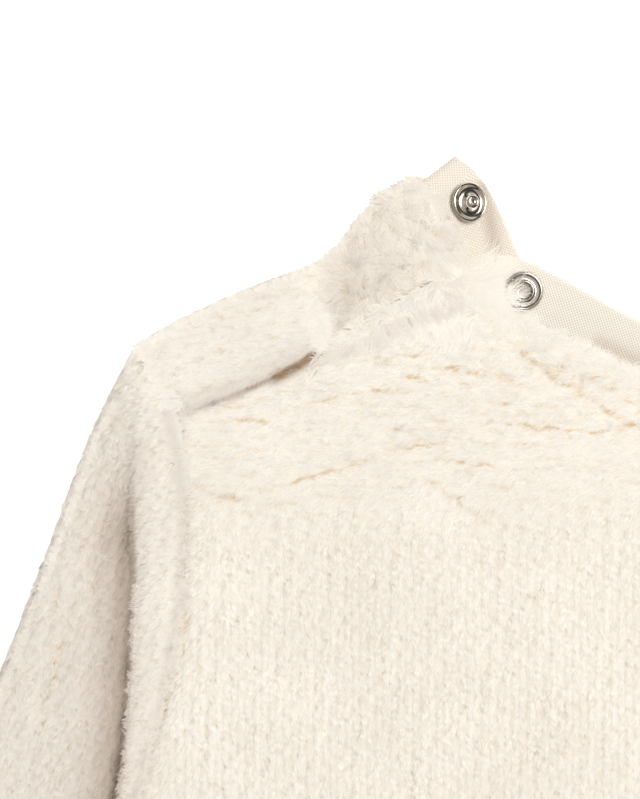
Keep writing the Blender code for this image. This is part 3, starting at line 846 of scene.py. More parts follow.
@dataclass(frozen=True)
class Pile:
    """The plush pile on one shell, as short bent blades that lie over each other in tufts.

    Attributes:
        zone: the cloth it grows on.
        blades: how many there are in all, over its parts.
        parts: how many meshes they are shared between.
        seed: picks their places.
        tuft: mean width of a tuft in mm.
        creases: troughs, where painted shade darkens the pile as it parts.
    """

    zone: Zone
    blades: int
    parts: int
    seed: int
    tuft: float
    creases: tuple = ()

    def choose(self, shell: Object, cover: BVHTree) -> tuple[Array, Array]:
        """Picks where blades grow: on the shell's open faces, where no other cloth lies on top.

        Args:
            shell: the ground.
            cover: every piece's ground.

        Returns:
            The roots and the surface's normals there.
        """
        mesh = shell.data
        mesh.calc_loop_triangles()
        corners = read(mesh.loop_triangles, "vertices", 3, int)
        points, normals = read_points(mesh)
        triangles = points[corners]
        across = np.cross(triangles[:, 1] - triangles[:, 0], triangles[:, 2] - triangles[:, 0])
        area = np.linalg.norm(across, axis=1) / 2
        middle = triangles.mean(axis=1)
        x, y = plan_of(middle)
        open_face = across[:, 2] / np.maximum(2 * area, 1e-12) > STEEPEST
        for k in np.nonzero(open_face)[0]:
            start = Vector(middle[k] + unit(across[k]) * 2 * RAY_START)
            open_face[k] = cover.ray_cast(start, Vector((0, 0, 1)), COVER_REACH)[0] is None
        chance = area * crowding(x, y) * open_face
        dice = np.random.default_rng(self.seed)
        chosen = dice.choice(len(chance), self.blades, p=chance / chance.sum())
        share = dice.dirichlet((1, 1, 1), self.blades)[:, :, None]
        roots = (triangles[chosen] * share).sum(axis=1)
        return roots, unit((normals[corners[chosen]] * share).sum(axis=1))

    def lie(self, x: Array, y: Array) -> tuple[Array, Array, Array]:
        """Says how the pile lies.

        Args:
            x: plan x of the roots.
            y: plan y of the roots.

        Returns:
            Its direction as an angle in plan, how wild it is from 0 to 1, and its length in mm.
        """
        calm = np.zeros_like(x)
        mirrored = -np.abs(x)
        if self.zone is Zone.FRONT:
            low = smooth(-y, 50, 72)
            seam = near(mirrored, y, ARMHOLE, 6)
            from_tape = off_path(mirrored, y, TAPE_FOOT)[0]
            from_edge = off_path(x, y, OPENING_EDGE)[0]
            pale = pale_spot(x, y)
            curly = fade(np.minimum(from_tape, from_edge * 1.4), 7.0) * (1 - 0.9 * pale)
            turn = blend(Lay.FRONT_TOP.turn, Lay.FRONT_LOW.turn, low)
            turn = blend(turn, Lay.BESIDE_ARMHOLE.turn, seam)
            turn = blend(turn, Lay.PALE_SPOT.turn, pale)
            turn = blend(turn, Lay.OVER_TAPE.turn, fade(from_tape, 3.2))
            wild = 0.2 - 0.13 * low + 0.6 * curly
            length = 2.3 - 0.6 * low + 0.6 * seam
            length = length + 1.6 * curly + 1.2 * pale
        elif self.zone is Zone.YOKE:
            wild = calm + 0.14
            length = calm + 2.3
            turn = blend(Lay.YOKE.turn, Lay.LIP.turn, near(x, y, LIP, 2.5) * smooth(-x, 130, 137))
        elif self.zone is Zone.FLAP:
            beside_yoke = 1 - smooth(x, -118, -109)
            turn = blend(Lay.FLAP.turn, Lay.FLAP_SIDE.turn, beside_yoke)
            wild = calm + 0.75 - 0.2 * beside_yoke
            length = calm + 3.8
        else:
            roll = (1 - smooth(off_roll(x, y), -1.0, 3.0)) * (1 - smooth(-y, 145, 160))
            turn = blend(Lay.SLEEVE.turn, Lay.ROLL.turn, roll)
            wild = 0.22 - 0.14 * roll
            length = 2.1 + 0.1 * roll
        turn = np.where(x < 0, turn, math.pi - turn)
        return turn, wild, length

    def rows(self, x: Array, y: Array) -> Array:
        """Returns which way the rows of tufts run at plan points, as an angle."""
        if self.zone is Zone.FRONT:
            return math.radians(180) + math.radians(90) * smooth(-y, 52, 70)
        if self.zone is Zone.YOKE:
            return np.full_like(x, Lay.YOKE.turn)
        if self.zone is Zone.FLAP:
            return np.full_like(x, Lay.FLAP.turn)
        return np.where(x < 0, math.radians(244), math.radians(-64))

    def shade(self, x: Array, y: Array) -> Array:
        """Says where the pile parts in creases and other places that painted shade darkens: streaks,
        patches, under the lip and a band below the tape; it is lighter in the pale spot.

        Args:
            x: plan x of the points.
            y: plan y of the points.

        Returns:
            How much painted shade darkens each point, as if it lay that much lower in the pile, 0 to about
            1.
        """
        trough = np.zeros_like(x)
        broken = 0.4 + 0.6 * smooth(Unevenness(43, 4.0).at(x, y), -1.0, 0.4)
        wander = 0.3 * Unevenness(45, 4.5).at(x, y)
        # Painted shade along the creases, broken here and there
        for crease in self.creases:
            narrow = replace(crease, width=min(0.46 * crease.width, 1.2))
            trough = np.maximum(trough, narrow.at(x, y + wander) * min(1.0, 1.6 / crease.width))
        trough = np.clip(trough, 0, 1.2) * broken
        # Painted shade in patches over the flap
        if self.zone is Zone.FLAP:
            trough = trough + 0.12 + 0.34 * smooth(Unevenness(49, 4.0).at(x, y), 0.5, 2.0)
        # Painted shade in streaks over the yoke and deep under its lip
        if self.zone is Zone.YOKE:
            trough = trough + 0.36 * smooth(Unevenness(53, 2.4, 3.0).at(x, y + 0.29 * x), 0.5, 1.9)
            trough = trough + 0.9 * near(x, y, LIP_DEEP, 1.2)
        if self.zone is Zone.FRONT:
            # Painted shade in streaks across the upper front, deep under the lip and in a band below the
            # tape, and lighter in the pale spot
            in_close_up = smooth(crowding(x, y), 0.15, 0.8)
            streak = smooth(Unevenness(47, 2.2, 5.0).at(x, y), 0.5, 2.0) * (0.4 + 0.6 * in_close_up)
            trough = trough + 0.42 * streak * ((1 - smooth(-y, 58, 80)) * smooth(-y, 16, 27))
            trough = trough + 0.9 * near(x, y, LIP_DEEP, 1.3) - 0.12 * pale_spot(x, y)
            below_tape = fade(off_path(-np.abs(x), y, TAPE_FOOT)[0] - 7.0, 2.4)
            below_tape = below_tape * (1 - smooth(np.abs(x), 70, 79)) * in_close_up
            trough = trough + 0.85 * smooth(Unevenness(55, 5.0, 0.5).at(x, y), 0.0, 1.7) * below_tape
        return trough

    def grow(self, roots: Array, normals: Array) -> tuple[Array, Array, dict]:
        """Grows a blade from each root.

        Args:
            roots: in metres.
            normals: of the ground.

        Returns:
            Four points for each blade, the shading normals there, and the attributes' values there.
        """
        count = len(roots)
        dice = np.random.default_rng(self.seed + 1)
        x, y = plan_of(roots)
        turn, wild, length = self.lie(x, y)
        loose = np.clip(0.2 + 1.4 * wild, 0, 1)
        # Tufts stand in rows: courses of the knit across the upper front, wales down the rest
        rows = self.rows(x, y)
        along_x, along_y = np.cos(rows), np.sin(rows)
        ahead_shift = Unevenness(11, 6.0).at(x, y) * 0.9 * loose
        aside_shift = Unevenness(12, 6.0).at(x, y) * (0.12 + 0.8 * wild)
        aside_shift = aside_shift + Unevenness(13, 2.6).at(x, y) * 0.15
        u = (x * along_x + y * along_y + ahead_shift) / (self.tuft * TUFT_STRETCH)
        v = (x * -along_y + y * along_x + aside_shift) / self.tuft
        u = u + ROW_STEP * np.floor(v)
        cell_u, cell_v = np.floor(u), np.floor(v)
        to_v = cell_v + 0.5 - v
        luck = cell_luck(cell_u, cell_v, (127.1, 311.7, 43758.5453))
        other = cell_luck(cell_u, cell_v, (269.5, 183.3, 28001.8384))
        turn = turn + wild * (2.4 * luck + 0.9 * Unevenness(21, 6.0).at(x, y))
        turn = turn + 0.24 * dice.normal(size=count)
        flat = np.stack([np.cos(turn), np.sin(turn), np.zeros(count)], axis=1)
        across = np.stack([-along_y, along_x, np.zeros(count)], axis=1)
        flat = flat + across * (to_v * 0.7)[:, None]
        flat = unit(flat - normals * (flat * normals).sum(axis=1)[:, None])
        aside = np.cross(normals, flat)
        coarse = np.clip(crowding(x, y) ** -0.4, 1, 2.7)
        length = length * (0.75 + 0.5 * dice.random(count)) * (1 + 0.24 * other * loose) * coarse**0.4
        width = BLADE_WIDTH * coarse * (0.8 + 0.5 * dice.random(count)) * (1 + 0.3 * wild)
        rise = np.radians(18 + 20 * wild + 9 * luck * loose + 5 * dice.normal(size=count))
        rise = np.clip(rise * (1 - 0.5 * np.clip(self.shade(x, y) - 0.2, 0, 1)), 0.06, 1.2)
        droop = rise * 0.3
        roll = dice.normal(size=count) * 0.4
        half = (length / 2 / MM)[:, None]
        curl = 0.5 * wild * (dice.normal(size=count) + 2.0 * other)
        bent = unit(flat + aside * curl[:, None])
        elbow = roots + tip(flat, normals, rise) * half
        end = elbow + tip(bent, normals, droop) * half
        reach = tip(aside, normals, roll) * (width / 2 / MM)[:, None]
        points = np.stack([roots, elbow - reach, elbow + reach, end], axis=1)
        # Painted shade: darker gaps between tufts, on the ripples and in creases, with random tone
        onset = 0.35 + 0.65 * smooth(-y, 46, 100) if self.zone is Zone.FRONT else 1.0
        parting_shade = smooth(np.abs(to_v), 0.25, 0.5) * onset
        parting_shade = parting_shade * (0.08 + 0.11 * smooth(Unevenness(41, 4.0).at(x, y), -0.8, 1.2))
        ripple = Unevenness(51, 1.7, 2.2).at(x, y)
        tone = (0.03 + 0.12 * wild) * luck + 0.07 * dice.normal(size=count) - parting_shade + 0.05 * ripple
        shade_levels = np.stack([tone + level for level in BLADE_SHADE], axis=1)
        plan_x, plan_y = plan_of(points.reshape(-1, 3))
        shade_levels = shade_levels - 0.56 * self.shade(plan_x, plan_y).reshape(count, 4)
        # Painted shade where cloth lies close beside other cloth
        tuck = painted_shade_at(self.zone, plan_x, plan_y).reshape(count, 4)
        lean = normals * 0.36 + flat * (0.3 * luck * loose)[:, None]
        lean = lean - across * (0.34 * to_v * onset)[:, None]
        lean = lean + across * ((0.09 + 0.4 * np.clip(wild, 0, 0.16)) * ripple)[:, None]
        lean = lean + np.array((0, 0, 0.64)) + 0.055 * dice.normal(size=(count, 3))
        shading = np.repeat(unit(lean)[:, None], 4, axis=1)
        return points, shading, {"lift": np.clip(shade_levels, 0, 1), "tuck": tuck}

    def make(self, name: str, shell: Object, cover: BVHTree, material: Material) -> list[Object]:
        """Builds the pile on a shell.

        Args:
            name: start of the pieces' names.
            shell: the ground.
            cover: every piece's ground.
            material: its finish.

        Returns:
            The pieces.
        """
        points, shading, fields = self.grow(*self.choose(shell, cover))
        pieces = []
        for k in range(self.parts):
            chosen = slice(k, None, self.parts)
            own = {field: values[chosen] for field, values in fields.items()}
            pieces.append(add_blades(f"{name}_{k + 1}", points[chosen], shading[chosen], own, material))
        return pieces


@dataclass(frozen=True)
class Fringe:
    """Long locks along an edge of the plush, which lie over whatever is beside it.

    Attributes:
        path: the edge in plan.
        turns: which way the locks lie at its start and its end, in degrees.
        length: of a lock, in mm.
        locks: how many there are.
        band: how far their roots are spread to either side, in mm.
        seed: picks their places.
        spread: how far their directions differ, in degrees.
        rise: how steeply they leave the cloth, in degrees.
        above: how high their roots stand over the ground, in mm.
        fray: how far the blades of one lock stand apart at its root, in mm.
    """

    path: tuple
    turns: tuple
    length: float
    locks: int
    band: float
    seed: int
    spread: float = 22.0
    rise: float = 16.0
    above: float = 0.5
    fray: float = 0.5

    def grow(self, zone: Zone, cover: BVHTree) -> tuple[Array, Array, dict]:
        """Grows the locks.

        Args:
            zone: the cloth they grow on.
            cover: every piece's ground.

        Returns:
            Six points for each blade, the shading normals there, and the attributes' values there.
        """
        dice = np.random.default_rng(self.seed)
        corners, _, starts = measure(self.path)
        where = np.sort(dice.random(self.locks))
        x, y = (
            np.interp(where * starts[-1], starts, line) + dice.uniform(-1, 1, self.locks) * self.band
            for line in corners.T
        )
        z = np.zeros(self.locks)
        for k in range(self.locks):
            start = Vector((x[k] / MM, (y[k] + NECK_LEVEL) / MM, HEADROOM))
            hit = cover.ray_cast(start, Vector((0, 0, -1)), HEADROOM)[0]
            z[k] = hit.z if hit is not None else 0.002
        z = np.max([np.roll(z, k) for k in range(-5, 6)], axis=0) * 0.7 + z * 0.3 + self.above / MM
        # The blades of a lock start apart and draw closer towards its tip
        turn = np.radians(blend(*self.turns, where) + self.spread * dice.normal(size=self.locks))
        bend = 0.45 * dice.normal(size=self.locks)
        length = self.length * dice.uniform(0.5, 1.2, self.locks)
        rise = np.radians(self.rise * dice.uniform(0.6, 1.5, self.locks))
        tone = 0.05 * dice.normal(size=self.locks)
        lock = np.repeat(np.arange(self.locks), STRANDS)
        count = len(lock)
        root = np.stack([x[lock] / MM, (y[lock] + NECK_LEVEL) / MM, z[lock]], axis=1)
        spot = dice.normal(size=(count, 3)) * np.array((self.fray, self.fray, 0.12)) / MM
        turn = turn[lock] + 0.12 * dice.normal(size=count)
        own = length[lock] * dice.uniform(0.75, 1.05, count) / MM
        stations = []
        for share, keep in ((0.0, 1.0), (0.36, 0.92), (0.72, 0.7), (1.0, 0.45)):
            heading = turn + bend[lock] * share
            height = own * np.sin(rise[lock]) * (share - 0.75 * share * share) * 1.6
            ahead = np.stack([np.cos(heading) * own * share, np.sin(heading) * own * share, height], axis=1)
            stations.append(root + spot * keep + ahead)
        heading = turn + bend[lock] * 0.5
        aside = np.stack([-np.sin(heading), np.cos(heading), 0.5 * dice.normal(size=count)], axis=1)
        reach = unit(aside) * (STRAND_REACH * dice.uniform(0.7, 1.3, count) / MM)[:, None]
        first, second = stations[1], stations[2]
        sides = [first - reach, first + reach, second - 0.7 * reach, second + 0.7 * reach]
        points = np.stack([stations[0], *sides, stations[3]], axis=1)
        # Painted shade from each blade's root to its tip, with random tone, and on the flap and near seams
        # where cloth lies close beside other cloth
        tone = tone[lock] + 0.05 * dice.normal(size=count)
        lift = np.stack([tone + level for level in STRAND_SHADE], axis=1)
        plan_x, plan_y = plan_of(points.reshape(-1, 3))
        tuck = np.full((count, 6), 0.17 if zone is Zone.FLAP else 0.0)
        if zone in (Zone.SLEEVE, Zone.FRONT):
            tuck = 0.6 * painted_shade_at(zone, plan_x, plan_y).reshape(count, 6)
        lean = np.array((0, 0, 1.0)) + 0.13 * aside * dice.normal(size=self.locks)[lock][:, None]
        shading = np.repeat(unit(lean)[:, None], 6, axis=1)
        return points, shading, {"lift": np.clip(lift, 0, 1), "tuck": tuck}


@dataclass
class NeckTape:
    """One of the two neck tapes, finer than its solid, with mm along and across it as its UV map.

    Attributes:
        node: the solid it stands for.
        name: its own name.
        middle: its middle line in plan, from its near end.
    """

    node: str
    name: str
    middle: tuple

    def make(self, material: Material) -> Object:
        """Builds the tape and returns it."""
        tape = ClothShell(self.node, self.name, 2, 0.0).copy_form(keep_corners=True)
        mesh = tape.data
        points, _ = read_points(mesh)
        x, y = plan_of(points)
        away, along = off_path(x, y, self.middle)
        corners, steps, _ = measure(self.middle)
        ahead = np.interp(along, np.linspace(0, 1, len(corners)), np.arange(len(corners)))
        nearest = np.clip(np.round(ahead).astype(int), 0, len(corners) - 2)
        step = corners[nearest + 1] - corners[nearest]
        sign = np.sign(step[:, 0] * (y - corners[nearest, 1]) - step[:, 1] * (x - corners[nearest, 0]))
        place = np.stack([along * steps.sum(), away * sign], axis=1)
        owner = read(mesh.loops, "vertex_index", 1, int)[:, 0]
        write(mesh.uv_layers.new(name="tape").data, "uv", place[owner])
        # Painted shade on the back tape towards its near end and along its fold by the stud, and where the
        # front one turns in
        if self.node == "neck_tape_back":
            tuck = 0.18 * (1 - smooth(x, -76, -66)) + 0.5 * near(x, y, STUD_FOLD, 1.8)
        else:
            tuck = 0.4 * near(x, y, TURNED_IN, 2.2)
        add_values(mesh, "tuck", tuck)
        dress(mesh, material)
        return tape


@dataclass
class SnapPart:
    """A turned metal part of the snap, finer than its solid, set where the solid lies.

    Attributes:
        node: the solid it stands for.
        name: its own name.
        profile: radius and height in mm above the tape, from its axis outwards and back.
    """

    node: str
    name: str
    profile: tuple

    def seat(self) -> Matrix:
        """Returns the solid's place: its foot's middle, with +Z out of the tape."""
        solid = frame["nodes"][self.node]
        points, _ = read_points(solid.data)
        points = np.unique(np.round(points, 6), axis=0)
        middle = (points.min(axis=0) + points.max(axis=0)) / 2
        _, _, axes = np.linalg.svd(points - points.mean(axis=0))
        normal = axes[2] if axes[2][2] > 0 else -axes[2]
        if self.node.endswith("_cap"):
            normal = -normal
        low = ((points - middle) @ normal).min()
        foot = points[(points - middle) @ normal < low + 2e-4].mean(axis=0)
        turn = Vector(normal).to_track_quat("Z", "Y").to_matrix().to_4x4()
        return Matrix.Translation(Vector(foot)) @ turn

    def make(self, material: Material) -> Object:
        """Spins the profile and returns the part."""
        mesh = bpy.data.meshes.new(self.name)
        line = [(r / MM, 0.0, h / MM) for r, h in self.profile]
        mesh.from_pydata(line, [(k, k + 1) for k in range(len(line) - 1)], [])
        part = add_object(self.name, mesh)
        pick(part)
        bpy.ops.object.mode_set(mode="EDIT")
        bpy.ops.mesh.select_all(action="SELECT")
        bpy.ops.mesh.spin(steps=72, angle=math.tau, center=(0, 0, 0), axis=(0, 0, 1))
        bpy.ops.mesh.select_all(action="SELECT")
        bpy.ops.mesh.remove_doubles(threshold=1e-6)
        bpy.ops.mesh.normals_make_consistent(inside=False)
        bpy.ops.object.mode_set(mode="OBJECT")
        mesh.transform(self.seat())
        dress(mesh, material)
        mesh.set_sharp_from_angle(angle=math.radians(50))
        return part


TAPE_FOOT_FAR = mirror(TAPE_FOOT[::-1])
ARMHOLE_FAR = mirror(ARMHOLE)
# Places where extra locks hide a seam or soften a step
TAPE_START = ((-84, -1.5), (-81.5, -6), (-79, -11))
TAPE_CURL = ((-83, -9.5), (-76, -13.5), (-69, -17.5))
FLAP_MIDDLE = ((-93, 7), (-91.5, 0), (-89, -6))
YOKE_BY_FLAP = ((-121.4, -21), (-121, -12), (-119, -2.5))
YOKE_FAR_END = ((88.6, -3.8), (89, 7.2))
ARMHOLE_TOP = ((-158, -38.2), (-156, -47), (-155.2, -58))
ARMHOLE_FAR_LOW = ((157, -106), (162.6, -122), (168.6, -147))
SHOULDER_SEAM_FAR = ((158.2, -39), (139.2, -33.1), (127.3, -26.5), (102.2, -12), (87, -3.6))
# Lines a little inside the open edges, where short pile stands out past the cloth
SHOULDER = (
    (-162.8, -21.4), (-158, -18.2), (-149.7, -13.9), (-139.1, -9.4), (-127.9, -5.2),
    (-117.6, -1.2),
)
SHOULDER_FAR = (
    (95.5, 5.8), (106.3, 1.9), (116.7, -2.3), (128, -6.1), (139, -10.3), (149.5, -14.9),
    (158, -18.9),
)
SLEEVE_SIDE = (
    (-169.6, -33.8), (-175.3, -45.2), (-181.5, -62.8), (-189, -82.8), (-196.5, -102.4),
    (-207.9, -130.8),
)
SLEEVE_SIDE_LOW = ((-207.9, -130.8), (-221.9, -160.8), (-238.9, -192.8), (-256.7, -224.4))
SLEEVE_SIDE_FAR = (
    (169.6, -33.8), (181.5, -62.8), (196.5, -102.4), (221.9, -160.8), (256.7, -224.4),
)
FRINGES = {
    "front": (
        Fringe(shift(TAPE_FOOT, -0.5, -1.0), (34, 60), 3.2, 780, 0.9, 611, 36, 16, 2.0, 0.8),
        Fringe(TAPE_FOOT_FAR, (120, 146), 3.2, 240, 0.9, 612, 36, 16, 2.0, 0.8),
        Fringe(TAPE_START, (-8, 6), 11.5, 230, 1.4, 613, 8, 9, 1.9, 0.8),
        Fringe(TAPE_CURL, (22, 50), 5.0, 170, 1.2, 614, 24, 14, 1.2, 0.7),
        Fringe(ARMHOLE, (186, 206), 2.6, 480, 0.9, 615, 16, 10, 0.4, 0.6),
        Fringe(ARMHOLE_FAR, (-6, -26), 2.6, 240, 0.9, 616, 16, 16, 0.8, 0.6),
        Fringe(SHOULDER_SEAM_FAR, (76, 68), 2.6, 460, 0.8, 617, 20, 40, 1.0, 0.6),
    ),
    "shoulder_flap": (
        Fringe(FLAP_TAPE_EDGE, (28, -10), 2.8, 400, 1.1, 621, 28, 14, 0.8, 0.7),
        Fringe(FLAP_MIDDLE, (-52, -30), 6.5, 80, 2.0, 622, 16, 12),
        Fringe(FLAP_NEAR_SIDE, (196, 176), 4.2, 320, 1.6, 623, 26, 16, 0.6, 0.8),
        Fringe(FLAP_BASE, (262, 300), 3.8, 260, 1.2, 624, 34, 16, 0.6),
        Fringe(FLAP_TOP, (150, 108), 2.8, 220, 1.0, 625, 30, 14, 0.4, 0.8),
    ),
    "back": (
        Fringe(YOKE_BY_FLAP, (16, -4), 3.6, 300, 1.2, 631, 24, 12, 0.5, 0.8),
        Fringe(SHOULDER, (122, 108), 2.0, 280, 0.5, 634, 16, 5, 0.2, 0.5),
        Fringe(SHOULDER_FAR, (72, 58), 2.4, 100, 0.5, 635, 16, 5, 0.2, 0.5),
        Fringe(YOKE_SEAM, (20, 20), 2.6, 180, 0.8, 636, 20, 12, 0.5, 0.8),
        Fringe(YOKE_FAR_END, (182, 178), 3.4, 50, 0.6, 637, 14, 10, 0.8, 0.6),
    ),
    "sleeve_right": (
        Fringe(SLEEVE_SIDE, (150, 160), 2.0, 380, 0.5, 641, 16, 5, 0.2, 0.5),
        Fringe(SLEEVE_SIDE_LOW, (156, 152), 2.4, 120, 0.5, 642, 16, 5, 0.2, 0.5),
        Fringe(YOKE_SEAM, (200, 204), 2.6, 130, 0.8, 643, 20, 12, 0.5, 0.8),
        Fringe(ARMHOLE_TOP, (16, 6), 2.8, 190, 0.6, 645, 20, 10, 0.5, 0.5),
        Fringe(shift(ROLL_EDGE[:6], 0.6, 0.0), (198, 202), 1.6, 240, 0.6, 644, 18, 8, 0.1, 0.5),
    ),
    "sleeve_left": (
        Fringe(ARMHOLE_FAR, (174, 154), 2.6, 130, 0.8, 652, 16, 14, 0.6, 0.6),
        Fringe(ARMHOLE_FAR_LOW, (166, 156), 2.8, 60, 0.7, 653, 16, 24, 1.0, 0.6),
        Fringe(SLEEVE_SIDE_FAR, (30, 28), 2.4, 160, 0.5, 651, 16, 5, 0.2, 0.5),
    ),
}


def rounded(profile: tuple, rounds: int = 2) -> tuple:
    """Returns a profile with its corners cut back by a quarter, the given number of times."""
    for _ in range(rounds):
        line = [profile[0]]
        for (r0, h0), (r1, h1) in zip(profile, profile[1:]):
            line.append((0.75 * r0 + 0.25 * r1, 0.75 * h0 + 0.25 * h1))
            line.append((0.25 * r0 + 0.75 * r1, 0.25 * h0 + 0.75 * h1))
        profile = (*line, profile[-1])
    return profile


@dataclass
class Pullover:
    """The whole garment.

    Attributes:
        plush: the cloth's finish.
        tape: the neck tapes' finish.
        nickel: the snap's finish.
    """

    plush: PlushFleece = PlushFleece("plush_fleece", 0.95)
    tape: WovenTape = WovenTape("cotton_tape", 0.85)
    nickel: NickelPlate = NickelPlate("nickel_plate", 0.16)

    def seat(self, piece: Object, slot: str, node: str) -> None:
        """Attaches a piece to the garment, hides the solid it stands for and logs its triangles."""
        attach(piece, "root")
        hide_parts(node)
        triangles = sum(len(face.vertices) - 2 for face in piece.data.polygons)
        LOG.info("%s: %d triangles", piece.name, triangles)

    def make_cloth(self) -> None:
        """Builds the five plush pieces with their pile."""
        material = self.plush.make()
        table = (
            ClothShell("front", "front_ground", 2, 1.0, FRONT_CREASES),
            ClothShell("back", "back_ground", 1, 1.0, (), Zone.YOKE),
            ClothShell("shoulder_flap", "flap_ground", 2, 0.9, (), Zone.FLAP),
            ClothShell("sleeve_right", "right_sleeve_ground", 2, 1.0, NEAR_SLEEVE_CREASES, Zone.SLEEVE),
            ClothShell("sleeve_left", "left_sleeve_ground", 1, 1.0, FAR_SLEEVE_CREASES, Zone.SLEEVE),
        )
        piles = (
            Pile(Zone.FRONT, 187000, 3, 101, 1.9, FRONT_CREASES),
            Pile(Zone.YOKE, 26000, 1, 201, 2.0),
            Pile(Zone.FLAP, 16000, 1, 301, 3.4),
            Pile(Zone.SLEEVE, 62000, 1, 401, 2.0, NEAR_SLEEVE_CREASES),
            Pile(Zone.SLEEVE, 20000, 1, 501, 2.0, FAR_SLEEVE_CREASES),
        )
        sleeve = (0.200, 0.225, 0.022)
        flats = ((0.344, 0.360, 0.116), (0.344, 0.372, 0.124), (0.045, 0.040, 0.00125), sleeve, sleeve)
        beside = tree_of([frame["nodes"][cloth.node].data for cloth in table])
        shells = [cloth.make(material, beside) for cloth in table]
        cover = tree_of([shell.data for shell in shells])
        for cloth, shell, pile, (width, length, area) in zip(table, shells, piles, flats):
            pieces = pile.make(shell.name.replace("ground", "pile"), shell, cover, material)
            grown = [fringe.grow(cloth.zone, cover) for fringe in FRINGES[cloth.node]]
            points, shading = (np.concatenate([part[k] for part in grown]) for k in (0, 1))
            fields = {field: np.concatenate([part[2][field] for part in grown]) for field in grown[0][2]}
            name = shell.name.replace("ground", "fringe")
            pieces.append(add_blades(name, points, shading, fields, material))
            for piece in (shell, *pieces):
                self.seat(piece, "plush", cloth.node)

    def make_tapes(self) -> None:
        """Builds both neck tapes."""
        material = self.tape.make()
        side = (
            (-78.4, -3.2), (-70.5, -5.9), (-63.5, -9.4), (-57, -12.8), (-43, -20.2),
            (-31.2, -25), (-16, -29),
        )
        front = (*side, (0.0, -30.2), *mirror(side[::-1]))
        back = (
            (-91, 22.8), (-86, 18.4), (-81.8, 11.7), (-78.5, 4.5), (-75.5, -1.8),
            (-69.8, -10.6), (-59, -18.8), (-43, -25.4), (-21.5, -31.8), (0, -34),
            (21.5, -31.8), (43, -25.4), (59, -18.5), (69.8, -11), (77, -2.2), (79.5, 14),
        )
        flats = ((0.013, 0.186), (0.013, 0.245))
        tapes = (
            NeckTape("neck_tape_front", "front_tape", front),
            NeckTape("neck_tape_back", "back_tape", back),
        )
        for tape, flat in zip(tapes, flats):
            piece = tape.make(material)
            self.seat(piece, "tape", tape.node)

    def make_snaps(self) -> None:
        """Builds the snap's four parts."""
        material = self.nickel.make()
        stud = (
            (0, 0), (4.5, 0), (5, 0.35), (4.95, 0.85), (4.65, 1.15), (4.3, 1.1),
            (4, 0.75), (3.6, 0.45), (2.9, 0.42), (2.3, 0.6), (1.9, 0.95), (1.5, 1.3), (1.4, 1.8),
            (1.65, 2.2), (1.7, 2.55), (1.4, 2.85), (1, 2.9), (0.75, 2.7), (0.6, 2.45), (0, 2.4),
        )
        socket = (
            (0, 0), (4.5, 0), (5, 0.35), (4.95, 0.9), (4.65, 1.3), (4.3, 1.35), (4.05, 1.1),
            (3.8, 0.95), (3, 0.9), (2.75, 1.05), (2.5, 1.2), (2.25, 1.1), (2.05, 0.75),
            (1.9, 0.4), (1.5, 0.3), (0, 0.3),
        )
        cap = ((0.0, 0.0), (4.2, 0.0), (4.6, 0.25), (4.5, 0.6), (3.6, 1.0), (2.2, 1.2), (0.0, 1.2))
        table = (
            SnapPart("snap_stud", "stud", rounded(stud)),
            SnapPart("snap_stud_cap", "stud_cap", rounded(cap)),
            SnapPart("snap_socket", "socket", rounded(socket)),
            SnapPart("snap_socket_cap", "socket_cap", rounded(cap)),
        )
        for part in table:
            self.seat(part.make(material), "snap", part.node)


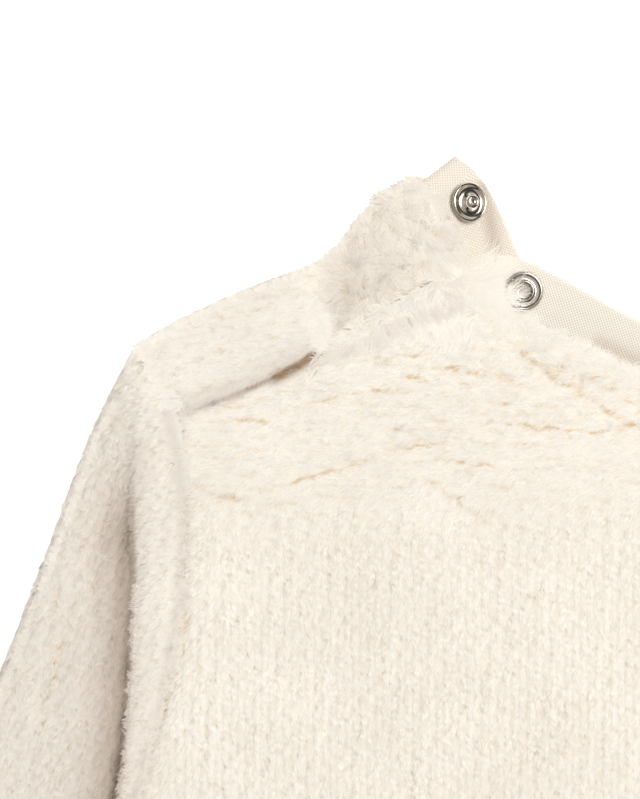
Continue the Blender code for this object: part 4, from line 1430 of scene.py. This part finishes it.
@dataclass
class Studio:
    """Paper, soft light from the right and a camera straight above.

    Attributes:
        distance: of the camera above the garment, in m.
        lamp: where the light stands, in m.
        lamp_size: length of its side, in m.
        lamp_watts: its power.
        lamp_colour: of its light.
        ambient: strength of the surroundings' light.
        paper: the floor's finish.
    """

    distance: float = 1.0
    lamp: tuple = (0.86, 0.62, 1.6)
    lamp_size: float = 1.0
    lamp_watts: float = 29.0
    lamp_colour: str = "#FCFDFF"
    ambient: float = 0.58
    paper: StudioPaper = StudioPaper("studio_paper", 0.9)

    def add_floor(self) -> None:
        """Adds the paper."""
        bpy.ops.object.select_all(action="DESELECT")
        bpy.ops.mesh.primitive_plane_add(size=6.0, location=(0, 0, 0))
        floor = bpy.context.object
        floor.name = "paper"
        floor.data.transform(Matrix.Translation((0, 0, -0.0005)))
        floor.data.materials.append(self.paper.make())

    def add_light(self) -> None:
        """Adds the soft light."""
        data = bpy.data.lights.new("key", "AREA")
        data.shape = "SQUARE"
        data.size = self.lamp_size
        data.energy = self.lamp_watts
        data.color = linear(self.lamp_colour)[:3]
        light = add_object("key", data)
        light.location = self.lamp
        aim = Vector((PHOTO_CENTRE[0] / MM, 0.12, 0))
        light.rotation_euler = (aim - Vector(self.lamp)).to_track_quat("-Z", "Y").to_euler()
        light.visible_camera = False

    def add_sky(self) -> None:
        """Adds the surroundings: bright low down and darker overhead, which the metal mirrors."""
        world = bpy.data.worlds.new("surroundings")
        world.use_nodes = True
        where = add_node(world, "ShaderNodeTexCoord")
        split = add_node(world, "ShaderNodeSeparateXYZ", in_0=where.outputs["Generated"])
        ramp = add_node(world, "ShaderNodeValToRGB", Fac=split.outputs["Z"])
        background = world.node_tree.nodes["Background"]
        feed(world, background, Color=ramp.outputs["Color"], Strength=self.ambient)
        ramp.color_ramp.elements[0].color = (0.5, 0.5, 0.5, 1)
        ramp.color_ramp.elements[0].position = 0.24
        ramp.color_ramp.elements[1].color = (1.4, 1.37, 1.36, 1)
        ramp.color_ramp.elements[1].position = 0.95
        for position, level in ((0.34, 0.03), (0.54, 0.05), (0.64, 1.0), (0.86, 1.0)):
            ramp.color_ramp.elements.new(position).color = (level, 0.985 * level, 0.955 * level, 1)
        bpy.context.scene.world = world

    def add_camera(self) -> None:
        """Adds the camera, which frames the open shoulder as in the picture."""
        data = bpy.data.cameras.new("camera")
        data.sensor_width = 36
        data.lens = data.sensor_width * self.distance / PHOTO_HEIGHT
        camera = add_object("camera", data)
        x, y = PHOTO_CENTRE
        camera.location = (x / MM, (y + NECK_LEVEL) / MM, self.distance + PHOTO_LEVEL)
        bpy.context.scene.camera = camera

    def make(self) -> None:
        """Sets up everything round the garment."""
        self.add_floor()
        self.add_light()
        self.add_sky()
        self.add_camera()
        scene = bpy.context.scene
        scene.view_settings.view_transform = "Standard"
        scene.view_settings.look = "None"
        scene.view_settings.exposure = 0.0


def main() -> None:
    """Builds the studio and the garment."""
    logging.basicConfig(level=logging.INFO, format="%(name)s: %(message)s")
    Studio().make()
    garment = Pullover()
    garment.make_cloth()
    garment.make_tapes()
    garment.make_snaps()


if __name__ == "__main__":
    main()
